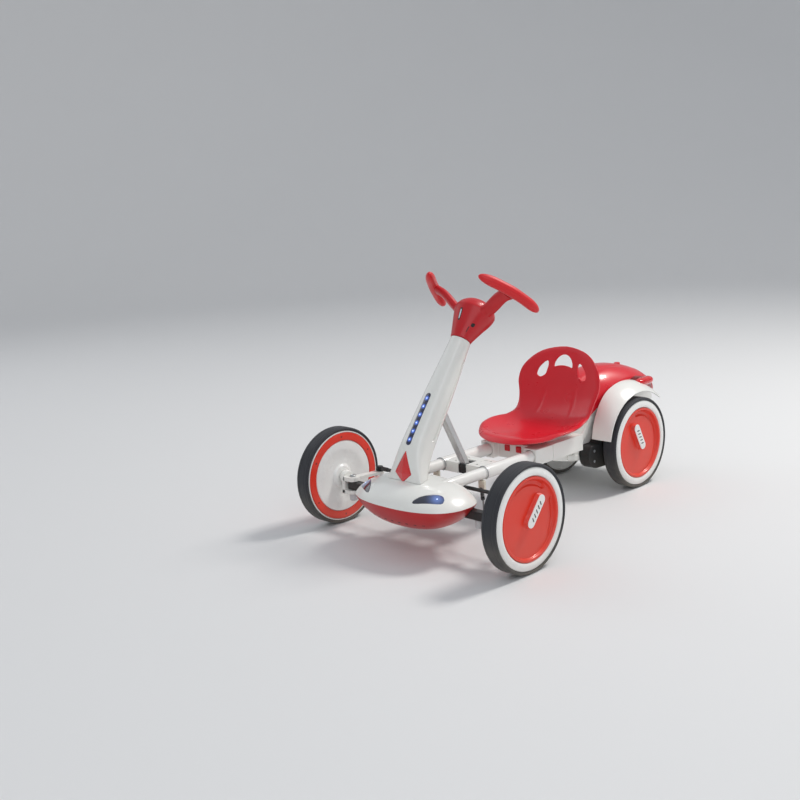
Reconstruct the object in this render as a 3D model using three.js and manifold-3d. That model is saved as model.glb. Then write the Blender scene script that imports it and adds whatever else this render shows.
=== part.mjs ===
// Child's four-wheel go kart: wide front axle under a nose pod, tilted
// steering column with a two-grip yoke, twin telescoping rails, moulded
// bucket seat and a narrow rear drive unit with fenders.
// Millimetres, +Z up, the kart drives toward -Y, its left side is +X.
import * as THREE from 'three';
import { mergeVertices } from 'three/addons/utils/BufferGeometryUtils.js';
import Module from 'manifold-3d';

// ---------------------------------------------------------------- dimensions
const WHEEL_R = 106;            // tyre radius
const WHEEL_W = 36;             // tyre width
const WHEEL_SEG = 24;           // facets round a wheel, one flat facet lowest
const RIM_R = 98.5;             // outer radius of the rim where the tyre sits
const DISC_R = 81.5;            // outer cover disc radius
const FRONT_X = 260.5;          // front wheel centre plane, each side
const REAR_X = 110;             // rear wheel centre plane, each side
const REAR_Y = 598;             // rear axle behind the front axle (wheelbase)
const AXLE_Z = 90;              // front axle bar height
const AXLE_S = 18;              // front axle bar, square side
const KINGPIN_X = 214;          // kingpin position, each side
const RAIL_X = 60;              // rail centre, each side
const RAIL_Z = 134;             // rail height
const RAIL_RF = 12;             // front rail radius
const RAIL_RR = 13;             // rear rail radius
const RAIL_SEAM_Y = 118;        // where front rail enters rear rail
const RAIL_END_Y = 382;         // rear end of the rear rails
const COL_TILT = 37.2;          // column lean from vertical, degrees
const COL_TOP = [128.7, 404.3]; // column axis at its top, Y and Z
const COL_LEN = 300;            // column length along its axis
const HEAD_H = 80;              // steering head height along the axis
const POD_A = 140;              // pod half width
const POD_B = 86;               // pod half depth
const POD_Y0 = -26;             // pod centre
const POD_N = 2.4;              // pod outline squareness
const SEAM_Z = 108;             // pod parting line height
const POD_TOP = 42;             // pod dome rise over the parting line
const POD_BOT = 56;             // pod bowl depth under the parting line
const WALL = 3;                 // moulded wall thickness
const GAP = 0.35;               // running gap between neighbours
const Y_SHIFT = -333.2;          // moves the middle of the length to Y = 0

const wasm = await Module();
wasm.setup();

// ------------------------------------------------------------------- helpers
const V = (x, y, z) => new THREE.Vector3(x, y, z);
const rad = (d) => (d * Math.PI) / 180;
const lerp = (a, b, t) => a + (b - a) * t;
const clamp = (v, a, b) => Math.max(a, Math.min(b, v));
const smooth = (t) => { t = clamp(t, 0, 1); return t * t * (3 - 2 * t); };

// piecewise-linear table lookup with smooth easing between rows
function table(rows, x) {
  if (x <= rows[0][0]) return rows[0][1];
  for (let i = 1; i < rows.length; i++) {
    if (x <= rows[i][0]) {
      const t = (x - rows[i - 1][0]) / (rows[i][0] - rows[i - 1][0]);
      return lerp(rows[i - 1][1], rows[i][1], t);
    }
  }
  return rows[rows.length - 1][1];
}
// Catmull-Rom through points, n samples
function spline(pts, n) {
  const c = new THREE.CatmullRomCurve3(pts, false, 'centripetal');
  return c.getPoints(n);
}

function clean(geo) {
  const g = geo.clone();
  g.deleteAttribute('normal');
  g.deleteAttribute('uv');
  const m = mergeVertices(g, 1e-4);
  const idx = m.index.array, pos = m.attributes.position.array;
  const keep = [];
  let vol = 0;
  for (let i = 0; i < idx.length; i += 3) {
    const [a, b, c] = [idx[i], idx[i + 1], idx[i + 2]];
    if (a === b || b === c || a === c) continue;
    keep.push(a, b, c);
    const [ax, ay, az] = [pos[3 * a], pos[3 * a + 1], pos[3 * a + 2]];
    const [bx, by, bz] = [pos[3 * b], pos[3 * b + 1], pos[3 * b + 2]];
    const [cx, cy, cz] = [pos[3 * c], pos[3 * c + 1], pos[3 * c + 2]];
    vol += ax * (by * cz - bz * cy) + ay * (bz * cx - bx * cz) + az * (bx * cy - by * cx);
  }
  if (vol < 0) for (let i = 0; i < keep.length; i += 3) { const t = keep[i + 1]; keep[i + 1] = keep[i + 2]; keep[i + 2] = t; }
  const out = new THREE.BufferGeometry();
  out.setAttribute('position', new THREE.BufferAttribute(new Float32Array(pos), 3));
  out.setIndex(keep);
  return out;
}
function solid(geo) {
  if (geo.userData.solid) return geo.userData.solid;
  const g = clean(geo);
  return new wasm.Manifold(new wasm.Mesh({
    numProp: 3,
    vertProperties: new Float32Array(g.attributes.position.array),
    triVerts: new Uint32Array(g.index.array),
  }));
}
function geoOf(man) {
  const m = man.getMesh();
  const g = new THREE.BufferGeometry();
  g.setAttribute('position', new THREE.BufferAttribute(new Float32Array(m.vertProperties), 3));
  g.setIndex(Array.from(m.triVerts));
  g.userData.solid = man;
  return g;
}
const cut = (a, ...bs) => { let m = solid(a); for (const b of bs) m = m.subtract(solid(b)); return geoOf(m); };
const join = (a, ...bs) => { let m = solid(a); for (const b of bs) m = m.add(solid(b)); return geoOf(m); };
const common = (a, b) => geoOf(solid(a).intersect(solid(b)));

// closed solid through rings of equal point count
function loft(rings) {
  const n = rings[0].length, pos = [], idx = [];
  for (const r of rings) for (const p of r) pos.push(p.x, p.y, p.z);
  for (let i = 0; i < rings.length - 1; i++) {
    for (let j = 0; j < n; j++) {
      const k = (j + 1) % n, a = i * n + j, b = i * n + k, c = (i + 1) * n + k, d = (i + 1) * n + j;
      idx.push(a, b, c, a, c, d);
    }
  }
  for (const [row, flip] of [[0, true], [rings.length - 1, false]]) {
    const c = V(0, 0, 0);
    for (const p of rings[row]) c.add(p);
    c.multiplyScalar(1 / n);
    const ci = pos.length / 3;
    pos.push(c.x, c.y, c.z);
    for (let j = 0; j < n; j++) {
      const k = (j + 1) % n;
      if (flip) idx.push(ci, row * n + k, row * n + j);
      else idx.push(ci, row * n + j, row * n + k);
    }
  }
  const g = new THREE.BufferGeometry();
  g.setAttribute('position', new THREE.BufferAttribute(new Float32Array(pos), 3));
  g.setIndex(idx);
  return clean(g);
}
// ring closed on itself (swept section that joins end to start)
function loop(rings) {
  const n = rings[0].length, m = rings.length, pos = [], idx = [];
  for (const r of rings) for (const p of r) pos.push(p.x, p.y, p.z);
  for (let i = 0; i < m; i++) {
    const i2 = (i + 1) % m;
    for (let j = 0; j < n; j++) {
      const k = (j + 1) % n;
      idx.push(i * n + j, i * n + k, i2 * n + k, i * n + j, i2 * n + k, i2 * n + j);
    }
  }
  const g = new THREE.BufferGeometry();
  g.setAttribute('position', new THREE.BufferAttribute(new Float32Array(pos), 3));
  g.setIndex(idx);
  return clean(g);
}
// open grid S(i,j) thickened by t(i,j) along its normals into a closed shell
function shell(S, t) {
  const nu = S.length, nv = S[0].length;
  const N = S.map((row, i) => row.map((p, j) => {
    const a = S[Math.min(i + 1, nu - 1)][j].clone().sub(S[Math.max(i - 1, 0)][j]);
    const b = S[i][Math.min(j + 1, nv - 1)].clone().sub(S[i][Math.max(j - 1, 0)]);
    return a.cross(b).normalize();
  }));
  const T = S.map((row, i) => row.map((p, j) => p.clone().addScaledVector(N[i][j], t)));
  const pos = [], idx = [];
  const id = (l, i, j) => (l * nu + i) * nv + j;
  for (const L of [S, T]) for (const row of L) for (const p of row) pos.push(p.x, p.y, p.z);
  for (let i = 0; i < nu - 1; i++) for (let j = 0; j < nv - 1; j++) {
    for (const l of [0, 1]) {
      const a = id(l, i, j), b = id(l, i + 1, j), c = id(l, i + 1, j + 1), d = id(l, i, j + 1);
      if (l) idx.push(a, b, c, a, c, d); else idx.push(a, c, b, a, d, c);
    }
  }
  for (let i = 0; i < nu - 1; i++) for (const [j, f] of [[0, 1], [nv - 1, 0]]) {
    const a = id(0, i, j), b = id(0, i + 1, j), c = id(1, i + 1, j), d = id(1, i, j);
    if (f) idx.push(a, b, c, a, c, d); else idx.push(a, c, b, a, d, c);
  }
  for (let j = 0; j < nv - 1; j++) for (const [i, f] of [[0, 0], [nu - 1, 1]]) {
    const a = id(0, i, j), b = id(0, i, j + 1), c = id(1, i, j + 1), d = id(1, i, j);
    if (f) idx.push(a, b, c, a, c, d); else idx.push(a, c, b, a, d, c);
  }
  const g = new THREE.BufferGeometry();
  g.setAttribute('position', new THREE.BufferAttribute(new Float32Array(pos), 3));
  g.setIndex(idx);
  return clean(g);
}
function frameOf(dir) {
  const d = dir.clone().normalize();
  const ref = Math.abs(d.x) > 0.9 ? V(0, 0, 1) : V(1, 0, 0);
  const a = ref.clone().addScaledVector(d, -ref.dot(d)).normalize();
  return [a, d.clone().cross(a).normalize(), d];
}
function ringAt(c, dir, ra, rb = ra, n = 16, pow = 2, phase = 0.5) {
  const [a, b] = frameOf(dir);
  const out = [];
  for (let i = 0; i < n; i++) {
    const t = ((i + phase) * 2 * Math.PI) / n, ct = Math.cos(t), st = Math.sin(t);
    const u = Math.sign(ct) * Math.pow(Math.abs(ct), 2 / pow), w = Math.sign(st) * Math.pow(Math.abs(st), 2 / pow);
    out.push(c.clone().addScaledVector(a, ra * u).addScaledVector(b, rb * w));
  }
  return out;
}
const rod = (p, q, r, n = 16) => { const d = q.clone().sub(p); return loft([ringAt(p, d, r, r, n), ringAt(q, d, r, r, n)]); };
const bar = (cx, cy, cz, sx, sy, sz) => { const g = new THREE.BoxGeometry(sx, sy, sz); g.translate(cx, cy, cz); return clean(g); };
// outline [[a,b],...] in a plane, extruded; axis x: (a,b)=(y,z), y: (x,z), z: (x,y)
function slab(pts, axis, from, to) {
  const mk = (a, b, h) => (axis === 'x' ? V(h, a, b) : axis === 'y' ? V(a, h, b) : V(a, b, h));
  return loftFlat(pts.map(([a, b]) => mk(a, b, from)), pts.map(([a, b]) => mk(a, b, to)), pts);
}
function loftFlat(r0, r1, pts2) {
  const n = r0.length, pos = [], idx = [];
  for (const p of [...r0, ...r1]) pos.push(p.x, p.y, p.z);
  for (let j = 0; j < n; j++) { const k = (j + 1) % n; idx.push(j, k, n + k, j, n + k, n + j); }
  const tris = THREE.ShapeUtils.triangulateShape(pts2.map(([a, b]) => new THREE.Vector2(a, b)), []);
  const area = THREE.ShapeUtils.area(pts2.map(([a, b]) => new THREE.Vector2(a, b)));
  for (let [a, b, c] of tris) {
    const t = THREE.ShapeUtils.area([pts2[a], pts2[b], pts2[c]].map(([p, q]) => new THREE.Vector2(p, q)));
    if (t * area < 0) [b, c] = [c, b];
    idx.push(a, c, b, n + a, n + b, n + c);
  }
  const g = new THREE.BufferGeometry();
  g.setAttribute('position', new THREE.BufferAttribute(new Float32Array(pos), 3));
  g.setIndex(idx);
  return clean(g);
}
function roundRect(cx, cy, w, h, r, k = 3) {
  const out = [];
  for (const [sx, sy, a0] of [[1, 1, 0], [-1, 1, 90], [-1, -1, 180], [1, -1, 270]]) {
    for (let i = 0; i <= k; i++) {
      const t = rad(a0 + (90 * i) / k);
      out.push([cx + sx * (w / 2 - r) + r * Math.cos(t), cy + sy * (h / 2 - r) + r * Math.sin(t)]);
    }
  }
  return out;
}
// body of revolution about X through (y,z); profile rows are [x, radius]
function latheX(profile, y, z, seg = WHEEL_SEG) {
  const k = 1 / Math.cos(Math.PI / seg);
  const g = new THREE.LatheGeometry(profile.map(([x, r]) => new THREE.Vector2(r * k, x)), seg, Math.PI / seg);
  g.rotateZ(-Math.PI / 2);
  g.translate(0, y, z);
  return clean(g);
}
function mirrorX(geo) {
  if (geo.userData.solid) return geoOf(geo.userData.solid.mirror([1, 0, 0]));
  const g = geo.clone(); g.scale(-1, 1, 1); return clean(g);
}

const kart = new THREE.Group();
kart.position.set(0, Y_SHIFT, 0);
const WHITE = 0xf2f2ee, RED = 0xd3161f, DISC_RED = 0xf0452c, BLACK = 0x1b1c1e, RUBBER = 0x26272b, SILVER = 0xb9bcc0;
function add(name, geo, color, roughness = 0.35, metalness = 0) {
  const m = new THREE.Mesh(geo, new THREE.MeshStandardMaterial({ color, roughness, metalness }));
  m.name = name;
  kart.add(m);
  return m;
}

// -------------------------------------------------------------------- wheels
// s = +1 left, -1 right; x is the wheel's middle plane
function wheel(tag, s, x, y, slant) {
  const z = WHEEL_R, o = x + (s * WHEEL_W) / 2, m = (d, r) => [o - s * d, r];   // d = depth in from the outer face
  add(`${tag}_tyre`, latheX([m(2.8, 99.2), m(0.8, 102.6), m(5, WHEEL_R), m(31, WHEEL_R), m(35.2, 102.6), m(33.2, 99.2), m(2.8, 99.2)], y, z), RUBBER, 0.85);
  // rim: white outer ring, web and hub
  add(`${tag}_rim`, latheX([m(12, 6.3), m(12, 82.3), m(0, 82.3), m(0, 92), m(2.4, 98.7), m(33.4, 98.7), m(31, 95.8), m(31, 77.8), m(34.4, 77.2), m(34.4, 6.3), m(12, 6.3)], y, z), WHITE, 0.3);
  if (tag.startsWith('front')) add(`${tag}_inner_ring`, latheX([m(31.4, 78.4), m(31.4, 95.3), m(34.6, 94.8), m(34.6, 78.4), m(31.4, 78.4)], y, z), DISC_RED, 0.35);
  // cover disc with a crescent groove and a slot for the badge
  let disc = latheX([m(11.6, 0), m(11.6, 81.9), m(2.2, 81.5), m(1.4, 79.5), m(1.4, 0)], y, z);
  add(`${tag}_cover_disc`, disc, DISC_RED, 0.35);
  const c = rad(slant), L = 25, W = 10;
  const pts = [];
  for (let i = 0; i <= 4; i++) { const t = c - Math.PI / 2 + (Math.PI * i) / 4; pts.push([y + 18 * Math.cos(c) + L * Math.cos(c) + W * Math.cos(t), z + 18 * Math.sin(c) + L * Math.sin(c) + W * Math.sin(t)]); }
  for (let i = 0; i <= 4; i++) { const t = c + Math.PI / 2 + (Math.PI * i) / 4; pts.push([y + 18 * Math.cos(c) - L * Math.cos(c) + W * Math.cos(t), z + 18 * Math.sin(c) - L * Math.sin(c) + W * Math.sin(t)]); }
  add(`${tag}_badge`, slab(pts, 'x', o - s * 1.05, o + s * 3.2), WHITE, 0.3);
}
wheel('front_left_wheel', 1, FRONT_X, 0, 50);
wheel('front_right_wheel', -1, -FRONT_X, 0, 50);
wheel('rear_left_wheel', 1, REAR_X, REAR_Y, 118);
wheel('rear_right_wheel', -1, -REAR_X, REAR_Y, 118);

// ---------------------------------------------------------------- front axle
add('front_axle_bar', cut(
  bar(0, 0, AXLE_Z, 2 * 221.4, AXLE_S, AXLE_S),
  rod(V(KINGPIN_X, 0, 70), V(KINGPIN_X, 0, 110), 4.5, 12),
  rod(V(-KINGPIN_X, 0, 70), V(-KINGPIN_X, 0, 110), 4.5, 12),
), BLACK, 0.45);

// steering knuckle: a C round the end of the bar, an outer web with the fixed
// stub axle, and an arm that reaches back and inward to the tie rod
function knuckle(tag, s) {
  const top = AXLE_Z + AXLE_S / 2 + 1, bot = AXLE_Z - AXLE_S / 2 - 1;
  const plate = (z0, z1) => slab([[KINGPIN_X - 15, -11], [KINGPIN_X - 11, -15], [KINGPIN_X + 20, -15], [KINGPIN_X + 20, 15], [KINGPIN_X - 11, 15], [KINGPIN_X - 15, 11]], 'z', z0, z1);
  let g = join(
    plate(top, top + 9), plate(bot - 8, bot),
    slab([[KINGPIN_X + 12, -15], [KINGPIN_X + 20, -15], [KINGPIN_X + 20, 15], [KINGPIN_X + 12, 15]], 'z', bot - 8, 118),
    rod(V(KINGPIN_X + 19, 0, WHEEL_R), V(FRONT_X - WHEEL_W / 2 + 0.8, 0, WHEEL_R), 12, 16),
    slab([[KINGPIN_X - 9, 8], [KINGPIN_X + 9, 8], [KINGPIN_X - 4, 70], [KINGPIN_X - 9, 77], [KINGPIN_X - 19, 77], [KINGPIN_X - 24, 70]], 'z', top + 1, top + 8),
  );
  g = cut(g, rod(V(KINGPIN_X, 0, 60), V(KINGPIN_X, 0, 125), 4.5, 12));
  g = join(g, rod(V(KINGPIN_X + 16, 0, WHEEL_R), V(FRONT_X + 5.5, 0, WHEEL_R), 5.8, 12));
  if (s < 0) g = mirrorX(g);
  add(`${tag}_knuckle`, g, WHITE, 0.35);
  let pin = join(rod(V(KINGPIN_X, 0, 66), V(KINGPIN_X, 0, top + 9.4), 4, 12), rod(V(KINGPIN_X, 0, top + 9.35), V(KINGPIN_X, 0, top + 13), 7, 12), rod(V(KINGPIN_X, 0, 64), V(KINGPIN_X, 0, bot - 8.35), 6.5, 6));
  if (s < 0) pin = mirrorX(pin);
  add(`${tag}_kingpin`, pin, SILVER, 0.3, 1);
}
knuckle('front_left', 1);
knuckle('front_right', -1);

// tie rod behind the pod, its end eyes lying on the two knuckle arms
const TIE_X = KINGPIN_X - 14, TIE_Y = 68, TIE_Z = AXLE_Z + 24;
add('tie_rod', join(
  rod(V(-TIE_X, TIE_Y, TIE_Z), V(TIE_X, TIE_Y, TIE_Z), 4, 10),
  rod(V(TIE_X, TIE_Y, TIE_Z - 5.6), V(TIE_X, TIE_Y, TIE_Z + 5), 8, 12),
  rod(V(-TIE_X, TIE_Y, TIE_Z - 5.6), V(-TIE_X, TIE_Y, TIE_Z + 5), 8, 12),
), BLACK, 0.45);

// ---------------------------------------------------------------- the rails
for (const [tag, s] of [['left', 1], ['right', -1]]) {
  add(`front_rail_${tag}`, cut(rod(V(s * RAIL_X, -8, RAIL_Z), V(s * RAIL_X, RAIL_SEAM_Y + 40, RAIL_Z), RAIL_RF, 16), rod(V(s * RAIL_X, -9, RAIL_Z), V(s * RAIL_X, RAIL_SEAM_Y + 41, RAIL_Z), RAIL_RF - 2, 12)), WHITE, 0.3);
  add(`rear_rail_${tag}`, cut(rod(V(s * RAIL_X, RAIL_SEAM_Y, RAIL_Z), V(s * RAIL_X, RAIL_END_Y, RAIL_Z), RAIL_RR + 0.6, 16), rod(V(s * RAIL_X, RAIL_SEAM_Y - 1, RAIL_Z), V(s * RAIL_X, RAIL_END_Y + 1, RAIL_Z), RAIL_RF + 0.3, 16)), WHITE, 0.3);
}
// block that carries the rails on the front axle, inside the pod
add('front_bracket', cut(bar(0, 0, (AXLE_Z + 9 + RAIL_Z - 12) / 2 + 2, 150, 22, 22),
  bar(0, 0, AXLE_Z, 200, AXLE_S + 1, AXLE_S + 0.8),
  rod(V(RAIL_X, -20, RAIL_Z), V(RAIL_X, 20, RAIL_Z), RAIL_RF + 0.35, 16), rod(V(-RAIL_X, -20, RAIL_Z), V(-RAIL_X, 20, RAIL_Z), RAIL_RF + 0.35, 16)), BLACK, 0.5);


// ------------------------------------------------------- column coordinates
// d runs up the column, n points out of its rear face
const D = V(0, Math.sin(rad(COL_TILT)), Math.cos(rad(COL_TILT)));
const N = V(0, Math.cos(rad(COL_TILT)), -Math.sin(rad(COL_TILT)));
const TOP = V(0, COL_TOP[0], COL_TOP[1]);
// point at x across, s down from the column top (negative = up), r toward the rear face
const onCol = (x, s, r) => TOP.clone().addScaledVector(D, -s).addScaledVector(N, r).add(V(x, 0, 0));

// ----------------------------------------------------------------- nose pod
// outline radius function, dome and bowl heights
const podRho = (x, y, a = POD_A, b = POD_B) => Math.pow(Math.pow(Math.abs(x) / a, POD_N) + Math.pow(Math.abs(y - POD_Y0) / b, POD_N), 1 / POD_N);
function podRing(k, z, n = 28, off = 0) {
  const out = [];
  for (let i = 0; i < n; i++) {
    const t = ((i + 0.5) * 2 * Math.PI) / n, c = Math.cos(t), s = Math.sin(t);
    const r = 1 / Math.pow(Math.pow(Math.abs(c), POD_N) + Math.pow(Math.abs(s), POD_N), 1 / POD_N);
    out.push(V(((POD_A - off) * k) * r * c, POD_Y0 + ((POD_B - off) * k) * r * s, z));
  }
  return out;
}
const domeZ = (k, top) => SEAM_Z + top * Math.pow(1 - Math.pow(k, 2.6), 0.95);
const bowlZ = (k, bot) => SEAM_Z - bot * Math.pow(1 - Math.pow(k, 2.6), 0.8);
function dome(top, off, z0) {
  const rings = [podRing(1, z0, 28, off)];
  for (const k of [0.99, 0.92, 0.8, 0.62, 0.35]) rings.push(podRing(k, Math.max(domeZ(k, top), z0 + 0.5 + (1 - k)), 28, off));
  return loft(rings);
}
function bowl(bot, off, z1) {
  const rings = [podRing(1, z1, 28, off)];
  for (const k of [0.985, 0.9, 0.76, 0.55]) rings.push(podRing(k, Math.min(bowlZ(k, bot), z1 - 0.5 - (1 - k)), 28, off));
  return loft(rings);
}
const AXLE_SLOT = bar(0, 0, AXLE_Z, 400, AXLE_S + 1.4, AXLE_S + 1.4);
const RAIL_SLOT_L = rod(V(RAIL_X, -30, RAIL_Z), V(RAIL_X, 90, RAIL_Z), RAIL_RF + 0.6, 16);
const RAIL_SLOT_R = rod(V(-RAIL_X, -30, RAIL_Z), V(-RAIL_X, 90, RAIL_Z), RAIL_RF + 0.6, 16);

// smoked lamp lenses let into the front corners of the cover
function lampOutline(grow) {
  const p0 = [60, -90], p1 = [104, -44], dx = p1[0] - p0[0], dy = p1[1] - p0[1], L = Math.hypot(dx, dy), ux = dx / L, uy = dy / L;
  const rows = [[-2, 0], [4, 4], [14, 7], [28, 9.2], [42, 10], [54, 9], [61, 5.5], [64, 0]];
  const out = [];
  rows[0][0] -= grow * 2;
  rows[rows.length - 1][0] += grow * 2;
  for (const [t, w] of rows) out.push([p0[0] + ux * t - uy * (w && w + grow), p0[1] + uy * t + ux * (w && w + grow)]);
  for (const [t, w] of rows.slice(1, -1).reverse()) out.push([p0[0] + ux * t + uy * (w + grow), p0[1] + uy * t - ux * (w + grow)]);
  return out;
}
const lampPrism = (grow) => slab(lampOutline(grow), 'z', 100, 180);
const domeOuter = dome(POD_TOP, 0, SEAM_Z);
const domeProud = dome(POD_TOP + 0.9, -0.9, SEAM_Z - 2);
const domeInner = dome(POD_TOP - WALL, WALL, SEAM_Z - 5);
// column foot passes through the top of the cover
const colFootRing = (s, grow) => columnRing(s, grow);
const COL_ROWS_W = [[0, 21], [60, 22.8], [120, 24.8], [180, 27], [230, 29.5], [262, 32.5], [285, 37], [305, 43], [330, 50]];
const COL_ROWS_F = [[0, 21], [60, 22], [120, 23], [180, 23.5], [230, 23], [262, 19], [285, 11], [305, 1], [330, -14]];
const COL_ROWS_B = [[0, 21], [60, 27], [120, 32.5], [180, 38], [230, 43], [262, 47], [285, 52], [305, 58], [330, 66]];
function columnRing(s, grow = 0, n = 18) {
  const w = table(COL_ROWS_W, s) + grow, f = table(COL_ROWS_F, s) + grow, b = table(COL_ROWS_B, s) + grow;
  const pw = lerp(2, 2.7, smooth(s / 160));
  const out = [];
  for (let i = 0; i < n; i++) {
    const t = ((i + 0.5) * 2 * Math.PI) / n, c = Math.cos(t), q = Math.sin(t);
    const u = Math.sign(c) * Math.pow(Math.abs(c), 2 / pw), v = Math.sign(q) * Math.pow(Math.abs(q), 2 / pw);
    out.push(onCol(w * u, s, v > 0 ? b * v : f * v));
  }
  return out;
}
const colBody = (grow, s0, s1) => loft([s1, 305, 285, 262, 230, 180, 120, 60, s0].map((s) => columnRing(s, grow)));
const colOuter = colBody(0, 0.4, 335);
const colInner = colBody(-WALL, -8, 345);
const lampCutL = common(lampPrism(0.4), dome(POD_TOP + 6, -6, SEAM_Z - 1));
let podUpper = cut(domeOuter, domeInner, RAIL_SLOT_L, RAIL_SLOT_R, rod(V(0, -34, 120), V(0, -34, 170), 20, 14), lampCutL, mirrorX(lampCutL));
// keep only the cover itself, the piece with the largest volume
function biggest(geo) { const parts = solid(geo).decompose(); parts.sort((a, b) => b.volume() - a.volume()); return geoOf(parts[0]); }
podUpper = biggest(podUpper);
add('pod_upper_cover', podUpper, WHITE, 0.28);
const lens = biggest(common(lampPrism(0), cut(domeProud, domeInner)));
add('headlight_lens_left', lens, 0x33415c, 0.15);
add('headlight_lens_right', mirrorX(lens), 0x33415c, 0.15);
add('pod_lower_cover', biggest(cut(bowl(POD_BOT, 0, SEAM_Z - GAP), bowl(POD_BOT - WALL, WALL, SEAM_Z + 1), AXLE_SLOT)), 0xc41a1c, 0.3);

// ------------------------------------------------------------------- column
// two half shells that meet on the plane of the column axis, with a shallow
// groove along each side; the flared foot follows the crown of the pod
const footCut = dome(POD_TOP + GAP + 0.1, -0.4, SEAM_Z - 60);
const SPLIT = [[-60, 13], [225, 15], [262, 20], [300, 30], [400, 62]];   // [down the axis, toward the rear]
const half = (rear) => {
  const off = rear ? 0.15 : -0.15, far = rear ? 160 : -160;
  const line = SPLIT.map(([s, r]) => [s, r + off]);
  const outline = [...line, [400, far], [-60, far]];
  return loftFlat(outline.map(([s, r]) => onCol(-90, s, r)), outline.map(([s, r]) => onCol(90, s, r)), outline);
};
const groove = (side) => {
  const pts = [];
  for (const s of [40, 70, 110, 150, 190, 222]) {
    const w = table(COL_ROWS_W, s), e = s === 40 || s === 222 ? 0.6 : 3;
    pts.push([V(0, 0, 0), s, w, e]);
  }
  return loft(pts.map(([, s, w, e]) => [onCol(side * (w - 2.4), s, 14 - e), onCol(side * (w + 6), s, 14 - e), onCol(side * (w + 6), s, 14 + e), onCol(side * (w - 2.4), s, 14 + e)]));
};
const tube = cut(colOuter, colInner, footCut, groove(1), groove(-1), RAIL_SLOT_L, RAIL_SLOT_R);
// lens pocket and reflector pocket on the front face
const LED_S0 = 134, LED_S1 = 250;
function frontPatch(outline, rIn, rOut) {
  // outline rows [x, s]; solid between two depths along the front face
  const f = (s) => table(COL_ROWS_F, s);
  const mk = (dr) => outline.map(([x, s]) => onCol(x, s, -(f(s) + dr)));
  return loft([mk(rIn), mk(rOut)]);
}
const capsule = (s0, s1, w, g = 0) => {
  const out = [];
  for (let i = 0; i <= 4; i++) { const t = Math.PI + (Math.PI * i) / 4; out.push([(w + g) * Math.cos(t), s0 + w + (w + g) * Math.sin(t)]); }
  for (let i = 0; i <= 4; i++) { const t = (Math.PI * i) / 4; out.push([(w + g) * Math.cos(t), s1 - w + (w + g) * Math.sin(t)]); }
  return out;
};
const kite = (g) => [[0, 263 - g * 1.6], [13 + g, 297], [0, 312 + g], [-13 - g, 297]];
const frontShell = biggest(cut(common(tube, half(false)), frontPatch(capsule(LED_S0, LED_S1, 6.4, 0.4), -1.6, 6), frontPatch(kite(0.4), -1.6, 9)));
add('column_front_shell', frontShell, WHITE, 0.28);
add('column_rear_shell', biggest(common(tube, half(true))), WHITE, 0.28);
add('led_strip_lens', frontPatch(capsule(LED_S0, LED_S1, 6.4, 0), -1.2, 0.7), 0x16244f, 0.15);
add('column_reflector', frontPatch(kite(0), -1.2, 1.2), 0xc01420, 0.2);

// steering shaft inside the column, with its drop arm in the hollow foot
add('steering_shaft', join(rod(onCol(0, 276, 0), onCol(0, -30, 0), 6, 12), loft([[onCol(-7, 262, -5), onCol(7, 262, -5), onCol(5, 262, 34), onCol(-5, 262, 34)], [onCol(-7, 270, -5), onCol(7, 270, -5), onCol(5, 270, 34), onCol(-5, 270, 34)]])), SILVER, 0.35, 1);

// ------------------------------------------------------- steering head, yoke
const HEAD_ROWS = [[0.5, 22.5, 0], [8, 24.5, 0.5], [34, 33.5, 3.5], [60, 43, 7], [72, 44, 7.5], [82, 39.5, 7.5], [92, 27, 7], [97, 10, 6]];
let head = loft(HEAD_ROWS.map(([h, r, o]) => ringAt(onCol(0, -h, o), D, r, r * 0.97, 18)));

// yoke plane: E2 runs down to the rear across the column axis
const YC = onCol(0, -92, -24);
const onYoke = (x, e, h) => YC.clone().add(V(x, 0, 0)).addScaledVector(N, e).addScaledVector(D, h);
function spoke(s) {
  const pts = spline([onYoke(s * 18, 24, -36), onYoke(s * 46, 18, -18), onYoke(s * 76, 4, 2), onYoke(s * 98, -2, 10)], 5);
  return loft(pts.map((p, i) => { const a = pts[Math.max(i - 1, 0)], b = pts[Math.min(i + 1, pts.length - 1)]; const t = i / (pts.length - 1); return ringAt(p, b.clone().sub(a), lerp(9, 8, t), lerp(15, 12.5, t), 12); }));
}
function gripRings(s, g) {
  const c = [];
  for (let i = 0; i <= 8; i++) { const t = -1 + (2 * i) / 8; c.push(onYoke(s * (108 - 10 * t * t + 32 * t), -2 + 70 * t, 13 - 4 * t * t)); }
  return c.map((p, i) => { const a = c[Math.max(i - 1, 0)], b = c[Math.min(i + 1, 8)]; const t = -1 + (2 * i) / 8, k = Math.sqrt(Math.max(0.06, 1 - Math.pow(Math.abs(t), 6))); return ringAt(p, b.clone().sub(a), 11 * k + g, 12 * k + g, 12); });
}
// the head and its two spokes are one moulding, with a socket for the shaft
const spokes = [1, -1].map((s) => cut(spoke(s), loft(gripRings(s, 0.35))));
add('steering_head', biggest(cut(join(head, ...spokes), rod(onCol(0, 6, 0), onCol(0, -33, 0), 6.5, 12))), RED, 0.35);
add('grip_left', loft(gripRings(1, 0)), RED, 0.5);
add('grip_right', loft(gripRings(-1, 0)), RED, 0.5);

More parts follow.
